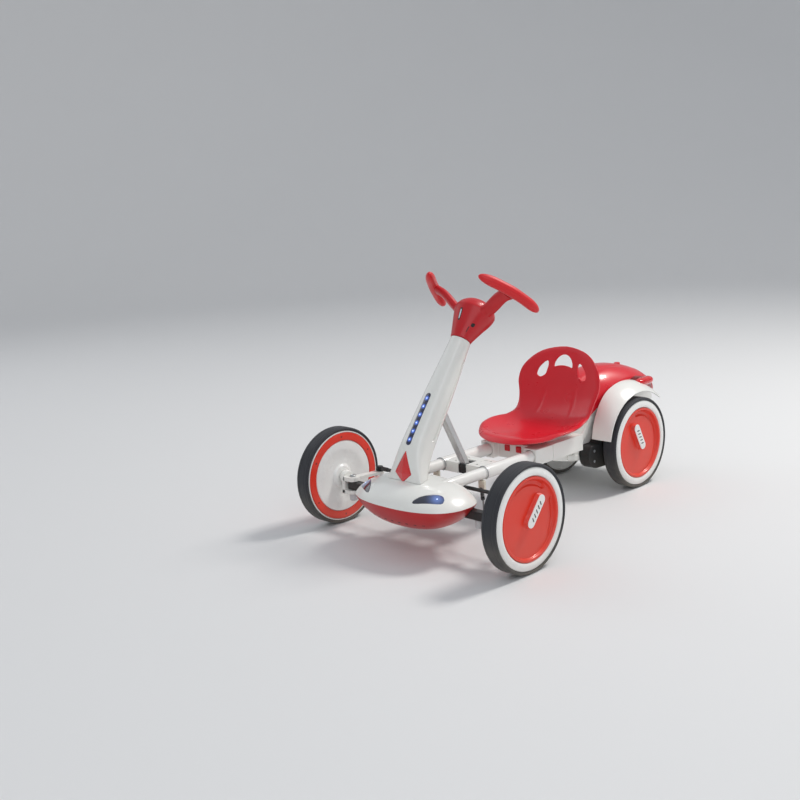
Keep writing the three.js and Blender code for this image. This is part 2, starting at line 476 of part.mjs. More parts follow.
// ------------------------------------------------- brace, brackets and seat
const STRUT_T = onCol(0, 148, 32), STRUT_B = V(0, 138, 127);      // brace ends
add('support_strut', biggest(cut(rod(STRUT_T, STRUT_B, 7.5, 8), colBody(GAP, -8, 345))), SILVER, 0.35, 0.9);
add('mid_bracket', cut(bar(0, 147, 133, 2 * (RAIL_X - 1), 58, 22),
  rod(V(RAIL_X, 100, RAIL_Z), V(RAIL_X, 190, RAIL_Z), RAIL_RR + 0.95, 16), rod(V(-RAIL_X, 100, RAIL_Z), V(-RAIL_X, 190, RAIL_Z), RAIL_RR + 0.95, 16),
  bar(0, 135, 133, 24, 38, 40)), WHITE, 0.35);
add('rear_bracket', cut(join(bar(0, 308, 134, 120, 42, 36), bar(RAIL_X, 299, 134, 36, 60, 36), bar(-RAIL_X, 299, 134, 36, 60, 36)),
  rod(V(RAIL_X, 200, RAIL_Z), V(RAIL_X, 420, RAIL_Z), RAIL_RR + 0.95, 16), rod(V(-RAIL_X, 200, RAIL_Z), V(-RAIL_X, 420, RAIL_Z), RAIL_RR + 0.95, 16),
  bar(16, 292, 140, 15, 24, 15), bar(-16, 292, 140, 15, 24, 15)), WHITE, 0.35);
for (const [t, x] of [['left', 16], ['right', -16]]) add(`release_button_${t}`, bar(x, 292.5, 140, 14, 18, 14), RED, 0.4);

// seat: one moulded shell; u runs from the front lip to the top of the back
const SEAT_C = [[0, 236, 162], [0.04, 240, 171], [0.1, 256, 175], [0.22, 294, 170], [0.34, 336, 168], [0.44, 372, 172], [0.52, 402, 186], [0.6, 424, 212], [0.72, 450, 250], [0.86, 478, 294], [1, 506, 340]];
const SEAT_W = [[0, 90], [0.04, 97], [0.1, 108], [0.2, 122], [0.3, 127], [0.4, 122], [0.5, 106], [0.6, 101], [0.7, 108], [0.8, 114], [0.9, 114], [1, 98]];
const ty = SEAT_C.map(([u, y]) => [u, y]), tz = SEAT_C.map(([u, , z]) => [u, z]);
function seatPoint(u, v) {
  const back = smooth((u - 0.42) / 0.2), a = Math.abs(v);
  const fe = 62 * Math.pow(a, 2.4) * Math.pow(1 - clamp(u / 0.5, 0, 1), 1.2);      // front edge sweeps back at the sides
  const te = 56 * Math.pow(a, 2.8) * Math.pow(clamp((u - 0.6) / 0.4, 0, 1), 1.5);   // top edge sweeps down
  const w = table(SEAT_W, u) * v;
  let y = table(ty, u) + fe, z = table(tz, u);
  z += (1 - back) * 26 * Math.pow(a, 3) * smooth(u / 0.25);
  y -= back * 20 * Math.pow(a, 2.4);
  z -= te; y -= te * 0.45;
  return V(w, y, z);
}
const SU = 15, SV = 10, grid = [];
for (let i = 0; i <= SU; i++) { const row = []; for (let j = 0; j <= SV; j++) row.push(seatPoint(i / SU, -1 + (2 * j) / SV)); grid.push(row); }
const seatRaw = shell(grid, 5);
const hole = (pts) => slab(pts, 'y', 400, 600);
const holeC = hole([[-26, 292], [-14, 296], [0, 297.5], [14, 296], [26, 292], [26, 301], [20, 313], [10, 320], [0, 322], [-10, 320], [-20, 313], [-26, 301]]);
const holeL = hole([[46, 274], [60, 266], [71, 272], [66, 288], [52, 303], [42, 306], [40, 296]]);
add('seat_shell', biggest(cut(seatRaw, holeC, holeL, mirrorX(holeL))), RED, 0.25);

// ----------------------------------------------------------------- rear unit
// open tub that carries the battery and the seat
const TUB = [[329.6, 118], [360, 104], [440, 86], [520, 80], [660, 80], [716, 98], [746, 130], [752, 190], [700, 214], [640, 222], [580, 216], [520, 196], [460, 168], [380, 158], [329.6, 152]];
const TUB_IN = [[333.6, 121], [362, 108], [442, 90], [520, 84], [656, 84], [712, 101], [741, 132], [747, 250], [333.6, 250]];
// the deck across its front carries the seat
// and a sleeve each side takes the end of a rail
add('rear_body', cut(join(cut(slab(TUB, 'x', -58, 58), slab(TUB_IN, 'x', -54.5, 54.5)), bar(0, 372, 157, 112, 60, 9),
  bar(RAIL_X, 383.8, 134, 36, 108.4, 36), bar(-RAIL_X, 383.8, 134, 36, 108.4, 36)),
  rod(V(RAIL_X, 300, RAIL_Z), V(RAIL_X, 424, RAIL_Z), RAIL_RR + 1.2, 16), rod(V(-RAIL_X, 300, RAIL_Z), V(-RAIL_X, 424, RAIL_Z), RAIL_RR + 1.2, 16),
  rod(V(-90, REAR_Y, WHEEL_R), V(90, REAR_Y, WHEEL_R), 6.6, 12)), WHITE, 0.32);
add('battery_pack', bar(0, 496, 125, 100, 110, 56), BLACK, 0.6);
// drive units either side of the tub
for (const [t, s] of [['left', 1], ['right', -1]]) {
  const pts = [[452, 78], [470, 66], [560, 62], [650, 66], [668, 84], [668, 128], [650, 144], [560, 150], [506, 144], [490, 121], [456, 121], [448, 104]];
  const g = cut(slab(pts, 'x', s * 58.4, s * 88), rod(V(s * 50, REAR_Y, WHEEL_R), V(s * 95, REAR_Y, WHEEL_R), 6.6, 12));
  add(`drive_unit_${t}`, g, BLACK, 0.5);
}
add('rear_axle', rod(V(-REAR_X - 6, REAR_Y, WHEEL_R), V(REAR_X + 6, REAR_Y, WHEEL_R), 5.8, 12), SILVER, 0.35, 1);

// hood: crowned cover over the tub, between the fenders
const HOOD_Y = [[440, 208], [462, 238], [500, 259], [550, 271], [600, 276], [650, 272], [700, 260], [740, 242], [764, 222], [776, 200]];
const hoodW = (y) => table([[440, 50], [470, 56], [520, 61], [580, 66], [660, 69], [720, 66], [755, 56], [776, 42]], y);
const hoodTop = (y) => table(HOOD_Y, y);
const hoodSide = (y) => table([[440, 172], [480, 196], [520, 218], [580, 240], [640, 248], [700, 238], [740, 220], [776, 186]], y);
function hoodGrid(nu, nv) {
  const g = [];
  for (let i = 0; i <= nu; i++) {
    const y = lerp(442, 776, i / nu), row = [];
    for (let j = 0; j <= nv; j++) {
      const v = -1 + (2 * j) / nv, a = Math.abs(v);
      row.push(V(hoodW(y) * v, y, lerp(hoodTop(y), hoodSide(y), Math.pow(a, 2.6))));
    }
    g.push(row);
  }
  return g;
}
add('rear_hood', cut(shell(hoodGrid(10, 8), -3), rod(V(0, 690, 240), V(0, 690, 290), 8.2, 16)), RED, 0.25);
add('hood_button', rod(V(0, 690, 259), V(0, 690, 270.5), 7.5, 16), RED, 0.35);

// fenders: arched shells from the hood's edge out over each wheel
const F_OUT = [[166, 116], [150, 116], [130, 116], [110, 116], [90, 118], [70, 122], [54, 126], [44, 130]];
function fender(s, grow = 0) {
  const rows = [];
  const A = 10;
  for (let i = 0; i <= A; i++) {
    const a = lerp(168, 44, i / A), ca = Math.cos(rad(a)), sa = Math.sin(rad(a));
    const r = table(F_OUT.slice().reverse().map(([q, w]) => [q, w]), a);
    const row = [];
    for (let j = 0; j <= 4; j++) {
      const v = j / 4;                              // 0 at the wheel side edge, 1 at the hood
      const x = lerp(121, 71, v);
      const rr = r + (1 - Math.pow(1 - v, 2)) * lerp(4, 22, smooth((168 - a) / 60));
      row.push(V(s * x, REAR_Y + (rr + grow) * ca, WHEEL_R + (rr + grow) * sa));
    }
    rows.push(row);
  }
  return rows;
}
add('fender_left', shell(fender(1), -3), WHITE, 0.3);
add('fender_right', shell(fender(-1), 3), WHITE, 0.3);

// tail lamps: bullet lenses standing on the fenders
for (const [t, s] of [['left', 1], ['right', -1]]) {
  const rows = [[640, 3], [646, 9], [660, 12.5], [684, 13], [696, 11], [703, 6], [705, 2]];
  add(`tail_light_${t}`, biggest(cut(loft(rows.map(([y, r]) => ringAt(V(s * 88, y, 236), V(0, 1, 0), r, r * 0.8, 12))), shell(fender(s, 0.5), s > 0 ? -16 : 16))), RED, 0.2);
}

// stays: a tab under each rail seam with a hooked link down to the axle bar
for (const [t, s] of [['left', 1], ['right', -1]]) {
  let g = join(bar(RAIL_X + 4, 107, 110, 16, 6, 22), rod(V(RAIL_X + 4, 107, 101), V(RAIL_X + 4, 96, 101), 2.4, 8), rod(V(RAIL_X + 4, 98, 101.5), V(150, 11.9, 99), 2.4, 8));
  if (s < 0) g = mirrorX(g);
  add(`frame_stay_${t}`, g, 0xe6e0d2, 0.5);
}
export default kart;
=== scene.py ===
import math
import bmesh
import bpy
import numpy as np
from mathutils import Matrix, Vector


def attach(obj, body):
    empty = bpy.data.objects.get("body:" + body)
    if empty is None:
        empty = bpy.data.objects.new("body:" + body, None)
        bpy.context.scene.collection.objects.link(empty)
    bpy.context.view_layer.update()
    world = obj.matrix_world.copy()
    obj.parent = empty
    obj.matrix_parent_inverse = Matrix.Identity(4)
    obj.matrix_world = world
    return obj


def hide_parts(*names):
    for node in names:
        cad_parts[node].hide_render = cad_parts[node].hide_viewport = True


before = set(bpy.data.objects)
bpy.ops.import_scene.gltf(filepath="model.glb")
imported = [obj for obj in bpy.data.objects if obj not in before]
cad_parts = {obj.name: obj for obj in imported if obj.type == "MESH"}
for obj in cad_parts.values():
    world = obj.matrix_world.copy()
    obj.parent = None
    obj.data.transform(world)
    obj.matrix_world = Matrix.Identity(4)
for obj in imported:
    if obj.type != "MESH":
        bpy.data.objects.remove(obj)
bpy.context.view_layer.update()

ROOT = "front_frame"

# ------------------------------------------------------------------ dimensions
# millimetres from the front axle line: +X the rider's left, +Y to the rear, +Z up
YS = -333.2
WHEEL_R, WHEEL_W = 106.0, 36.0
FRONT_X, REAR_X, REAR_Y = 260.5, 110.0, 598.0
AXLE_Z, KX = 90.0, 214.0
RAIL_X, RAIL_Z, RAIL_RF, RAIL_RR = 60.0, 134.0, 12.0, 13.6
SEAM_Y, RAIL_END = 118.0, 382.0
TILT = math.radians(37.2)
TOP = np.array([0, 128.7, 404.3])
DD = np.array([0, math.sin(TILT), math.cos(TILT)])       # up the column
NN = np.array([0, math.cos(TILT), -math.sin(TILT)])      # out of its rear face
POD_A, POD_B, POD_Y0, POD_N, SEAM_Z = 139.9, 85.8, -26.0, 2.4, 108.0
POD_TOP, POD_BOT = 42.0, 56.0


def V(x, y, z):
    return np.array([x, y, z], float)


def lerp(a, b, t):
    return a + (b - a) * t


def clamp(v, a=0.0, b=1.0):
    return max(a, min(b, v))


def smooth(t):
    t = clamp(t)
    return t * t * (3 - 2 * t)


def bumpf(t):
    """1 at 0, fading smoothly to 0 at 1."""
    return 1 - smooth(abs(t))


class Tab:
    """Monotone cubic through table rows."""

    def __init__(self, rows):
        self.x = [float(r[0]) for r in rows]
        self.y = [float(r[1]) for r in rows]
        n = len(rows)
        h = [self.x[i + 1] - self.x[i] for i in range(n - 1)]
        d = [(self.y[i + 1] - self.y[i]) / h[i] for i in range(n - 1)]
        m = [0.0] * n
        for i in range(1, n - 1):
            if d[i - 1] * d[i] > 0:
                a, b = 2 * h[i] + h[i - 1], h[i] + 2 * h[i - 1]
                m[i] = (a + b) / (a / d[i - 1] + b / d[i])
        m[0], m[-1] = d[0], d[-1]
        self.h, self.m, self.n = h, m, n

    def __call__(self, v):
        x, y, m = self.x, self.y, self.m
        if v <= x[0]:
            return y[0]
        if v >= x[-1]:
            return y[-1]
        i = 0
        while v > x[i + 1]:
            i += 1
        h = self.h[i]
        t = (v - x[i]) / h
        t2, t3 = t * t, t * t * t
        return (2 * t3 - 3 * t2 + 1) * y[i] + (t3 - 2 * t2 + t) * h * m[i] + (3 * t2 - 2 * t3) * y[i + 1] + (t3 - t2) * h * m[i + 1]


def unit(v):
    return v / max(np.linalg.norm(v), 1e-12)


def on_col(x, s, r):
    return TOP - DD * s + NN * r + V(x, 0, 0)


# ------------------------------------------------------------------- materials
def srgb(h):
    c = [int(h[i:i + 2], 16) / 255 for i in (0, 2, 4)]
    return [x / 12.92 if x <= 0.04045 else ((x + 0.055) / 1.055) ** 2.4 for x in c]


def material(name, base, rough=0.35, metal=0.0, coat=0.0, vary=0.05, vary_scale=9.0, grain=700.0, grain_depth=0.015,
             rough_vary=0.08, edge=0.12, edge_tint=None, dust=0.0, sheen=0.0, ior=1.5, subsurface=0.0, stretch=None):
    m = bpy.data.materials.new(name)
    m.use_nodes = True
    t = m.node_tree
    n, link = t.nodes, t.links.new
    p = n["Principled BSDF"]
    co = n.new("ShaderNodeTexCoord")
    mp = n.new("ShaderNodeMapping")
    link(co.outputs["Object"], mp.inputs["Vector"])
    if stretch:
        mp.inputs["Scale"].default_value = stretch
    big = n.new("ShaderNodeTexNoise")
    big.inputs["Scale"].default_value = vary_scale
    big.inputs["Detail"].default_value = 4
    link(co.outputs["Object"], big.inputs["Vector"])
    fine = n.new("ShaderNodeTexNoise")
    fine.inputs["Scale"].default_value = grain
    fine.inputs["Detail"].default_value = 2
    link(mp.outputs["Vector"], fine.inputs["Vector"])
    mix = n.new("ShaderNodeMix")
    mix.data_type = "RGBA"
    base = list(base)
    mix.inputs[6].default_value = [c * (1 - vary) for c in base] + [1]
    mix.inputs[7].default_value = [min(1, c * (1 + vary)) for c in base] + [1]
    link(big.outputs["Fac"], mix.inputs[0])
    colour = mix.outputs[2]
    if edge:
        geo = n.new("ShaderNodeNewGeometry")
        ramp = n.new("ShaderNodeMapRange")
        ramp.inputs["From Min"].default_value = 0.52
        ramp.inputs["From Max"].default_value = 0.62
        ramp.inputs["To Max"].default_value = edge
        link(geo.outputs["Pointiness"], ramp.inputs["Value"])
        worn = n.new("ShaderNodeMath")
        worn.operation = "MULTIPLY"
        scuff = n.new("ShaderNodeTexNoise")
        scuff.inputs["Scale"].default_value = 60
        scuff.inputs["Detail"].default_value = 5
        link(co.outputs["Object"], scuff.inputs["Vector"])
        link(ramp.outputs["Result"], worn.inputs[0])
        link(scuff.outputs["Fac"], worn.inputs[1])
        em = n.new("ShaderNodeMix")
        em.data_type = "RGBA"
        link(worn.outputs["Value"], em.inputs[0])
        link(colour, em.inputs[6])
        em.inputs[7].default_value = list(edge_tint or [min(1, c * 0.6 + 0.35) for c in base]) + [1]
        colour = em.outputs[2]
    if dust:
        sep = n.new("ShaderNodeSeparateXYZ")
        link(co.outputs["Object"], sep.inputs["Vector"])
        low = n.new("ShaderNodeMapRange")
        low.inputs["From Min"].default_value = 0.0
        low.inputs["From Max"].default_value = 0.11
        low.inputs["To Min"].default_value = dust
        low.inputs["To Max"].default_value = 0.02
        link(sep.outputs["Z"], low.inputs["Value"])
        dn = n.new("ShaderNodeTexNoise")
        dn.inputs["Scale"].default_value = 38
        dn.inputs["Detail"].default_value = 6
        link(co.outputs["Object"], dn.inputs["Vector"])
        mu = n.new("ShaderNodeMath")
        mu.operation = "MULTIPLY"
        link(low.outputs["Result"], mu.inputs[0])
        link(dn.outputs["Fac"], mu.inputs[1])
        dm = n.new("ShaderNodeMix")
        dm.data_type = "RGBA"
        link(mu.outputs["Value"], dm.inputs[0])
        link(colour, dm.inputs[6])
        dm.inputs[7].default_value = (0.34, 0.3, 0.22, 1)
        colour = dm.outputs[2]
    link(colour, p.inputs["Base Color"])
    rr = n.new("ShaderNodeMapRange")
    rr.inputs["To Min"].default_value = max(0.02, rough - rough_vary)
    rr.inputs["To Max"].default_value = rough + rough_vary
    rn = n.new("ShaderNodeTexNoise")
    rn.inputs["Scale"].default_value = 26
    rn.inputs["Detail"].default_value = 5
    link(co.outputs["Object"], rn.inputs["Vector"])
    link(rn.outputs["Fac"], rr.inputs["Value"])
    link(rr.outputs["Result"], p.inputs["Roughness"])
    if grain_depth:
        b = n.new("ShaderNodeBump")
        b.inputs["Strength"].default_value = 0.35
        b.inputs["Distance"].default_value = grain_depth * 0.001
        link(fine.outputs["Fac"], b.inputs["Height"])
        link(b.outputs["Normal"], p.inputs["Normal"])
    p.inputs["Metallic"].default_value = metal
    p.inputs["Coat Weight"].default_value = coat
    p.inputs["Coat Roughness"].default_value = 0.06
    p.inputs["IOR"].default_value = ior
    if sheen:
        p.inputs["Sheen Weight"].default_value = sheen
    if subsurface:
        p.inputs["Subsurface Weight"].default_value = subsurface
        p.inputs["Subsurface Radius"].default_value = (0.006, 0.0015, 0.001)
    m.diffuse_color = base + [1]
    return m


WHITE = material("white_moulding", srgb("EFEFEA"), 0.24, coat=0.35, vary=0.02, grain=420, grain_depth=0.02, edge=0.1, edge_tint=(0.75, 0.74, 0.7), dust=0.10)
WHITE_TUBE = material("white_painted_tube", srgb("F1F0EC"), 0.2, coat=0.5, vary=0.02, grain=260, grain_depth=0.03, edge=0.1, edge_tint=(0.6, 0.6, 0.58), dust=0.05)
RED = material("red_gloss", srgb("DA1226"), 0.3, coat=0.25, vary=0.07, grain=380, grain_depth=0.018, edge=0.16, edge_tint=(0.85, 0.12, 0.1), subsurface=0.06)
# steering head: satin red whose base colour is darker than the other red mouldings as painted shade, for the head
# standing in shade; the satin roughness is its own
RED_HEAD_SHADED = material("red_satin_painted_shade", srgb("C40F1B"), 0.38, coat=0.1, vary=0.06, grain=900, grain_depth=0.05, edge=0.16, edge_tint=(0.8, 0.12, 0.1))
RED_GRIP = material("red_soft_grip", srgb("D8151E"), 0.44, vary=0.05, grain=1400, grain_depth=0.12, edge=0.14, edge_tint=(0.85, 0.16, 0.13), sheen=0.15)
RED_POD = material("red_pod", srgb("C00F18"), 0.32, coat=0.2, vary=0.06, grain=380, grain_depth=0.02, edge=0.14, edge_tint=(0.8, 0.12, 0.1), dust=0.18)
DISC = material("orange_red_disc", srgb("E8341F"), 0.36, coat=0.12, vary=0.05, grain=420, grain_depth=0.03, edge=0.16, edge_tint=(0.95, 0.3, 0.2), dust=0.28)
RUBBER = material("tyre_rubber", srgb("2B2D33"), 0.72, vary=0.16, vary_scale=30, grain=900, grain_depth=0.22, edge=0.25, edge_tint=(0.12, 0.12, 0.125), dust=0.5, sheen=0.1)
BLACK = material("black_textured_plastic", srgb("161719"), 0.55, vary=0.12, grain=1100, grain_depth=0.16, edge=0.25, edge_tint=(0.09, 0.09, 0.095), dust=0.3)
STEEL_B = material("black_painted_steel", srgb("1A1B1D"), 0.4, metal=0.2, vary=0.1, grain=500, grain_depth=0.05, edge=0.4, edge_tint=(0.3, 0.3, 0.31), dust=0.25)
ZINC = material("zinc_steel", srgb("B4B7BA"), 0.34, metal=1.0, vary=0.09, vary_scale=40, grain=600, grain_depth=0.05, edge=0.2, edge_tint=(0.75, 0.75, 0.76))
ALU = material("satin_aluminium", srgb("C2C3C4"), 0.34, metal=0.85, vary=0.05, vary_scale=20, grain=900, grain_depth=0.06, edge=0.2, edge_tint=(0.8, 0.8, 0.8), stretch=(1, 1, 0.04))
CREAM = material("cream_plastic", srgb("E3DDCB"), 0.42, vary=0.05, grain=700, grain_depth=0.05, edge=0.1)
GREY = material("grey_fitting", srgb("C9CBCC"), 0.4, vary=0.05, grain=700, grain_depth=0.05, edge=0.1)
RED_LENS = material("red_lens", srgb("D80E18"), 0.08, coat=1.0, vary=0.1, vary_scale=60, grain=160, grain_depth=0.05, rough_vary=0.03, edge=0.15, edge_tint=(1, 0.3, 0.25), subsurface=0.2)
WHITE_LENS = material("clear_lens", srgb("DCE6EE"), 0.08, coat=1.0, vary=0.05, grain=160, grain_depth=0.03, rough_vary=0.03, edge=0.1)
SHOULDER = material("rim_white", srgb("F3F3F0"), 0.26, coat=0.3, vary=0.02, grain=500, grain_depth=0.03, edge=0.12, edge_tint=(0.7, 0.68, 0.62), dust=0.25)


def lens_material(name, deep, light, centre, reach, glow=None):
    """Smoked or tinted lens: dark glass body, lighter towards its lamp, with a soft glow there."""
    m = material(name, deep, 0.06, coat=1.0, vary=0.15, vary_scale=50, grain=200, grain_depth=0.02, rough_vary=0.03, edge=0)
    t = m.node_tree
    n, link = t.nodes, t.links.new
    p = n["Principled BSDF"]
    co = n.new("ShaderNodeTexCoord")
    sub = n.new("ShaderNodeVectorMath")
    sub.operation = "DISTANCE"
    sub.inputs[1].default_value = centre
    link(co.outputs["Object"], sub.inputs[0])
    r = n.new("ShaderNodeMapRange")
    r.interpolation_type = "SMOOTHSTEP"
    r.inputs["From Min"].default_value = 0.0
    r.inputs["From Max"].default_value = reach
    r.inputs["To Min"].default_value = 1.0
    r.inputs["To Max"].default_value = 0.0
    link(sub.outputs["Value"], r.inputs["Value"])
    mx = n.new("ShaderNodeMix")
    mx.data_type = "RGBA"
    link(r.outputs["Result"], mx.inputs[0])
    src = p.inputs["Base Color"].links[0].from_socket
    link(src, mx.inputs[6])
    mx.inputs[7].default_value = list(light) + [1]
    link(mx.outputs[2], p.inputs["Base Color"])
    if glow:
        p.inputs["Emission Color"].default_value = list(glow) + [1]
        mu = n.new("ShaderNodeMath")
        mu.operation = "POWER"
        link(r.outputs["Result"], mu.inputs[0])
        mu.inputs[1].default_value = 3
        link(mu.outputs["Value"], p.inputs["Emission Strength"])
    return m


def emissive(name, colour, strength):
    m = material(name, colour, 0.15, coat=1.0, vary=0.03, grain=300, grain_depth=0.01, edge=0)
    p = m.node_tree.nodes["Principled BSDF"]
    p.inputs["Emission Color"].default_value = list(colour) + [1]
    p.inputs["Emission Strength"].default_value = strength
    return m


# ------------------------------------------------------------------ mesh tools
MADE = []


def mm(p):
    return (p[0] * 0.001, (p[1] + YS) * 0.001, p[2] * 0.001)


def put(name, verts, faces, mat, body, rep=(), bevel=0.0, seg=2, angle=38, solid=0.0, weld=True, sub=0, sharp=None, weighted=True, closed=True, clamp_overlap=True, out=None):
    """One object from millimetre vertices: welded, normals out, smooth shaded, with its modifiers."""
    me = bpy.data.meshes.new(name)
    me.from_pydata([mm(v) for v in verts], [], [tuple(f) for f in faces])
    bm = bmesh.new()
    bm.from_mesh(me)
    if weld:
        bmesh.ops.remove_doubles(bm, verts=bm.verts, dist=2e-6)
    if closed:
        bmesh.ops.recalc_face_normals(bm, faces=bm.faces)
    if out is not None:
        # a sheet's outer side faces away from this point
        c = Vector(mm(out))
        if sum(f.normal.dot(f.calc_center_median() - c) * f.calc_area() for f in bm.faces) < 0:
            bmesh.ops.reverse_faces(bm, faces=bm.faces)
    for f in bm.faces:
        f.smooth = True
    if sharp is not None:
        for e in bm.edges:
            if len(e.link_faces) == 2 and e.calc_face_angle(0) > math.radians(sharp):
                e.smooth = False
    bm.to_mesh(me)
    bm.free()
    o = bpy.data.objects.new(name, me)
    bpy.context.scene.collection.objects.link(o)
    me.materials.append(mat)
    if solid:
        s = o.modifiers.new("wall", "SOLIDIFY")
        s.thickness = abs(solid) * 0.001
        s.offset = -1 if solid > 0 else 1
        s.use_even_offset = True
        s.use_quality_normals = True
    if bevel:
        b = o.modifiers.new("round", "BEVEL")
        b.width = bevel * 0.001
        b.segments = seg
        b.limit_method = "ANGLE"
        b.angle_limit = math.radians(angle)
        b.use_clamp_overlap = clamp_overlap
    if sub:
        s = o.modifiers.new("sub", "SUBSURF")
        s.levels = s.render_levels = sub
    if weighted:
        w = o.modifiers.new("normals", "WEIGHTED_NORMAL")
        w.keep_sharp = True
        w.weight = 60
    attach(o, body)
    if rep:
        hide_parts(*([rep] if isinstance(rep, str) else rep))
    MADE.append(o)
    return o


class Mesh:
    """A pile of closed pieces that end up in one object."""

    def __init__(self):
        self.v, self.f = [], []

    def add(self, vf):
        v, f = vf
        n = len(self.v)
        self.v += [tuple(p) for p in v]
        self.f += [tuple(i + n for i in g) for g in f]
        return self

    def mirror(self):
        m = Mesh()
        m.v = [(-p[0], p[1], p[2]) for p in self.v]
        m.f = [tuple(reversed(g)) for g in self.f]
        return m


def mirror(vf):
    v, f = vf
    return [(-p[0], p[1], p[2]) for p in v], [tuple(reversed(g)) for g in f]


def loft(rings, cap=True, loop=False):
    n, v, f = len(rings[0]), [], []
    for r in rings:
        v += [tuple(p) for p in r]
    m = len(rings)
    for i in range(m if loop else m - 1):
        a, b = i * n, ((i + 1) % m) * n
        for j in range(n):
            k = (j + 1) % n
            f.append((a + j, a + k, b + k, b + j))
    if cap and not loop:
        f.append(tuple(reversed(range(n))))
        f.append(tuple(range((m - 1) * n, m * n)))
    return v, f


def frame_of(d):
    d = unit(np.asarray(d, float))
    ref = V(0, 0, 1) if abs(d[0]) > 0.9 else V(1, 0, 0)
    a = unit(ref - d * ref.dot(d))
    return a, np.cross(d, a), d


def spow(c, p):
    return math.copysign(abs(c) ** p, c)


def ring(c, d, ra, rb=None, n=48, power=2.0, phase=0.0):
    rb = ra if rb is None else rb
    a, b, _ = frame_of(d)
    out = []
    for i in range(n):
        t = 2 * math.pi * (i + phase) / n
        out.append(c + a * (ra * spow(math.cos(t), 2 / power)) + b * (rb * spow(math.sin(t), 2 / power)))
    return out


def rod(p, q, r, n=40, ends=0.0, power=2.0, r2=None):
    """Cylinder or cone with rounded ends."""
    p, q = np.asarray(p, float), np.asarray(q, float)
    r2 = r if r2 is None else r2
    d = unit(q - p)
    L = np.linalg.norm(q - p)
    rows = []
    if ends:
        for i in range(5):
            t = math.pi / 2 * i / 4
            rows.append((ends * (1 - math.sin(t)), -ends * (1 - math.cos(t)), 0))
        rows = [(ends * (1 - math.cos(t)), ends * (1 - math.sin(t)), 0) for t in [math.pi / 2 * i / 4 for i in range(5)]]
        out = [ring(p + d * x, d, r - y, n=n, power=power) for x, y, _ in rows]
        out += [ring(q - d * x, d, r2 - y, n=n, power=power) for x, y, _ in reversed(rows)]
        return loft(out)
    return loft([ring(p, d, r, n=n, power=power), ring(q, d, r2, n=n, power=power)])


def box(cx, cy, cz, sx, sy, sz):
    x, y, z = sx / 2, sy / 2, sz / 2
    v = [(cx + a * x, cy + b * y, cz + c * z) for a in (-1, 1) for b in (-1, 1) for c in (-1, 1)]
    f = [(0, 1, 3, 2), (4, 6, 7, 5), (0, 4, 5, 1), (2, 3, 7, 6), (0, 2, 6, 4), (1, 5, 7, 3)]
    return v, f


def prism(pts, axis, a, b):
    mk = {"x": lambda p, h: (h, p[0], p[1]), "y": lambda p, h: (p[0], h, p[1]), "z": lambda p, h: (p[0], p[1], h)}[axis]
    n = len(pts)
    v = [mk(p, a) for p in pts] + [mk(p, b) for p in pts]
    f = [(i, (i + 1) % n, n + (i + 1) % n, n + i) for i in range(n)]
    f += [tuple(reversed(range(n))), tuple(range(n, 2 * n))]
    return v, f


def rounded(pts, r, k=5, closed=True):
    """Corners of a polyline replaced with arcs. r is one radius or one a corner."""
    n = len(pts)
    out = []
    for i, p in enumerate(pts):
        p = np.array(p, float)
        ri = r[i] if isinstance(r, (list, tuple)) else r
        if not closed and i in (0, n - 1) or ri <= 0:
            out.append(tuple(p))
            continue
        a, b = np.array(pts[i - 1], float) - p, np.array(pts[(i + 1) % n], float) - p
        la, lb = np.linalg.norm(a), np.linalg.norm(b)
        t = min(ri, la * 0.48, lb * 0.48)
        A, B = p + a / la * t, p + b / lb * t
        for j in range(k + 1):
            s = j / k
            out.append(tuple((1 - s) ** 2 * A + 2 * s * (1 - s) * p + s * s * B))
    return out


def catmull(pts, n, closed=False):
    P = [np.asarray(p, float) for p in pts]
    m = len(P)
    out = []
    span = m if closed else m - 1
    for i in range(n + (0 if closed else 1)):
        g = span * i / n
        k = min(int(g), span - 1)
        t = g - k
        if closed:
            a, b, c, d = P[(k - 1) % m], P[k % m], P[(k + 1) % m], P[(k + 2) % m]
        else:
            a, b, c, d = P[max(k - 1, 0)], P[k], P[min(k + 1, m - 1)], P[min(k + 2, m - 1)]
        out.append(0.5 * ((2 * b) + (c - a) * t + (2 * a - 5 * b + 4 * c - d) * t * t + (3 * b - a - 3 * c + d) * t ** 3))
    return out


def sweep(path, sec, up=None):
    """Closed section [(a, b), ...] or a function of t giving one, carried along a path."""
    rings = []
    m = len(path)
    prev = None
    for i, p in enumerate(path):
        d = unit(path[min(i + 1, m - 1)] - path[max(i - 1, 0)])
        if up is not None:
            a = unit(np.cross(d, up))
            b = np.cross(a, d)
        else:
            if prev is None:
                a, b, _ = frame_of(d)
            else:
                a = unit(prev - d * prev.dot(d))
                b = np.cross(d, a)
            prev = a
        s = sec(i / (m - 1)) if callable(sec) else sec
        rings.append([p + a * q[0] + b * q[1] for q in s])
    return loft(rings)


def circle(r, n=16):
    return [(r * math.cos(2 * math.pi * i / n), r * math.sin(2 * math.pi * i / n)) for i in range(n)]


def lathe_x(profile, y, z, seg=120):
    """Closed profile [(x, radius), ...] turned about the X axis through (y, z)."""
    v, f, n = [], [], len(profile)
    for i in range(seg):
        t = 2 * math.pi * i / seg
        for x, r in profile:
            v.append((x, y + r * math.cos(t), z + r * math.sin(t)))
    for i in range(seg):
        a, b = i * n, ((i + 1) % seg) * n
        for j in range(n):
            k = (j + 1) % n
            f.append((a + j, a + k, b + k, b + j))
    return v, f


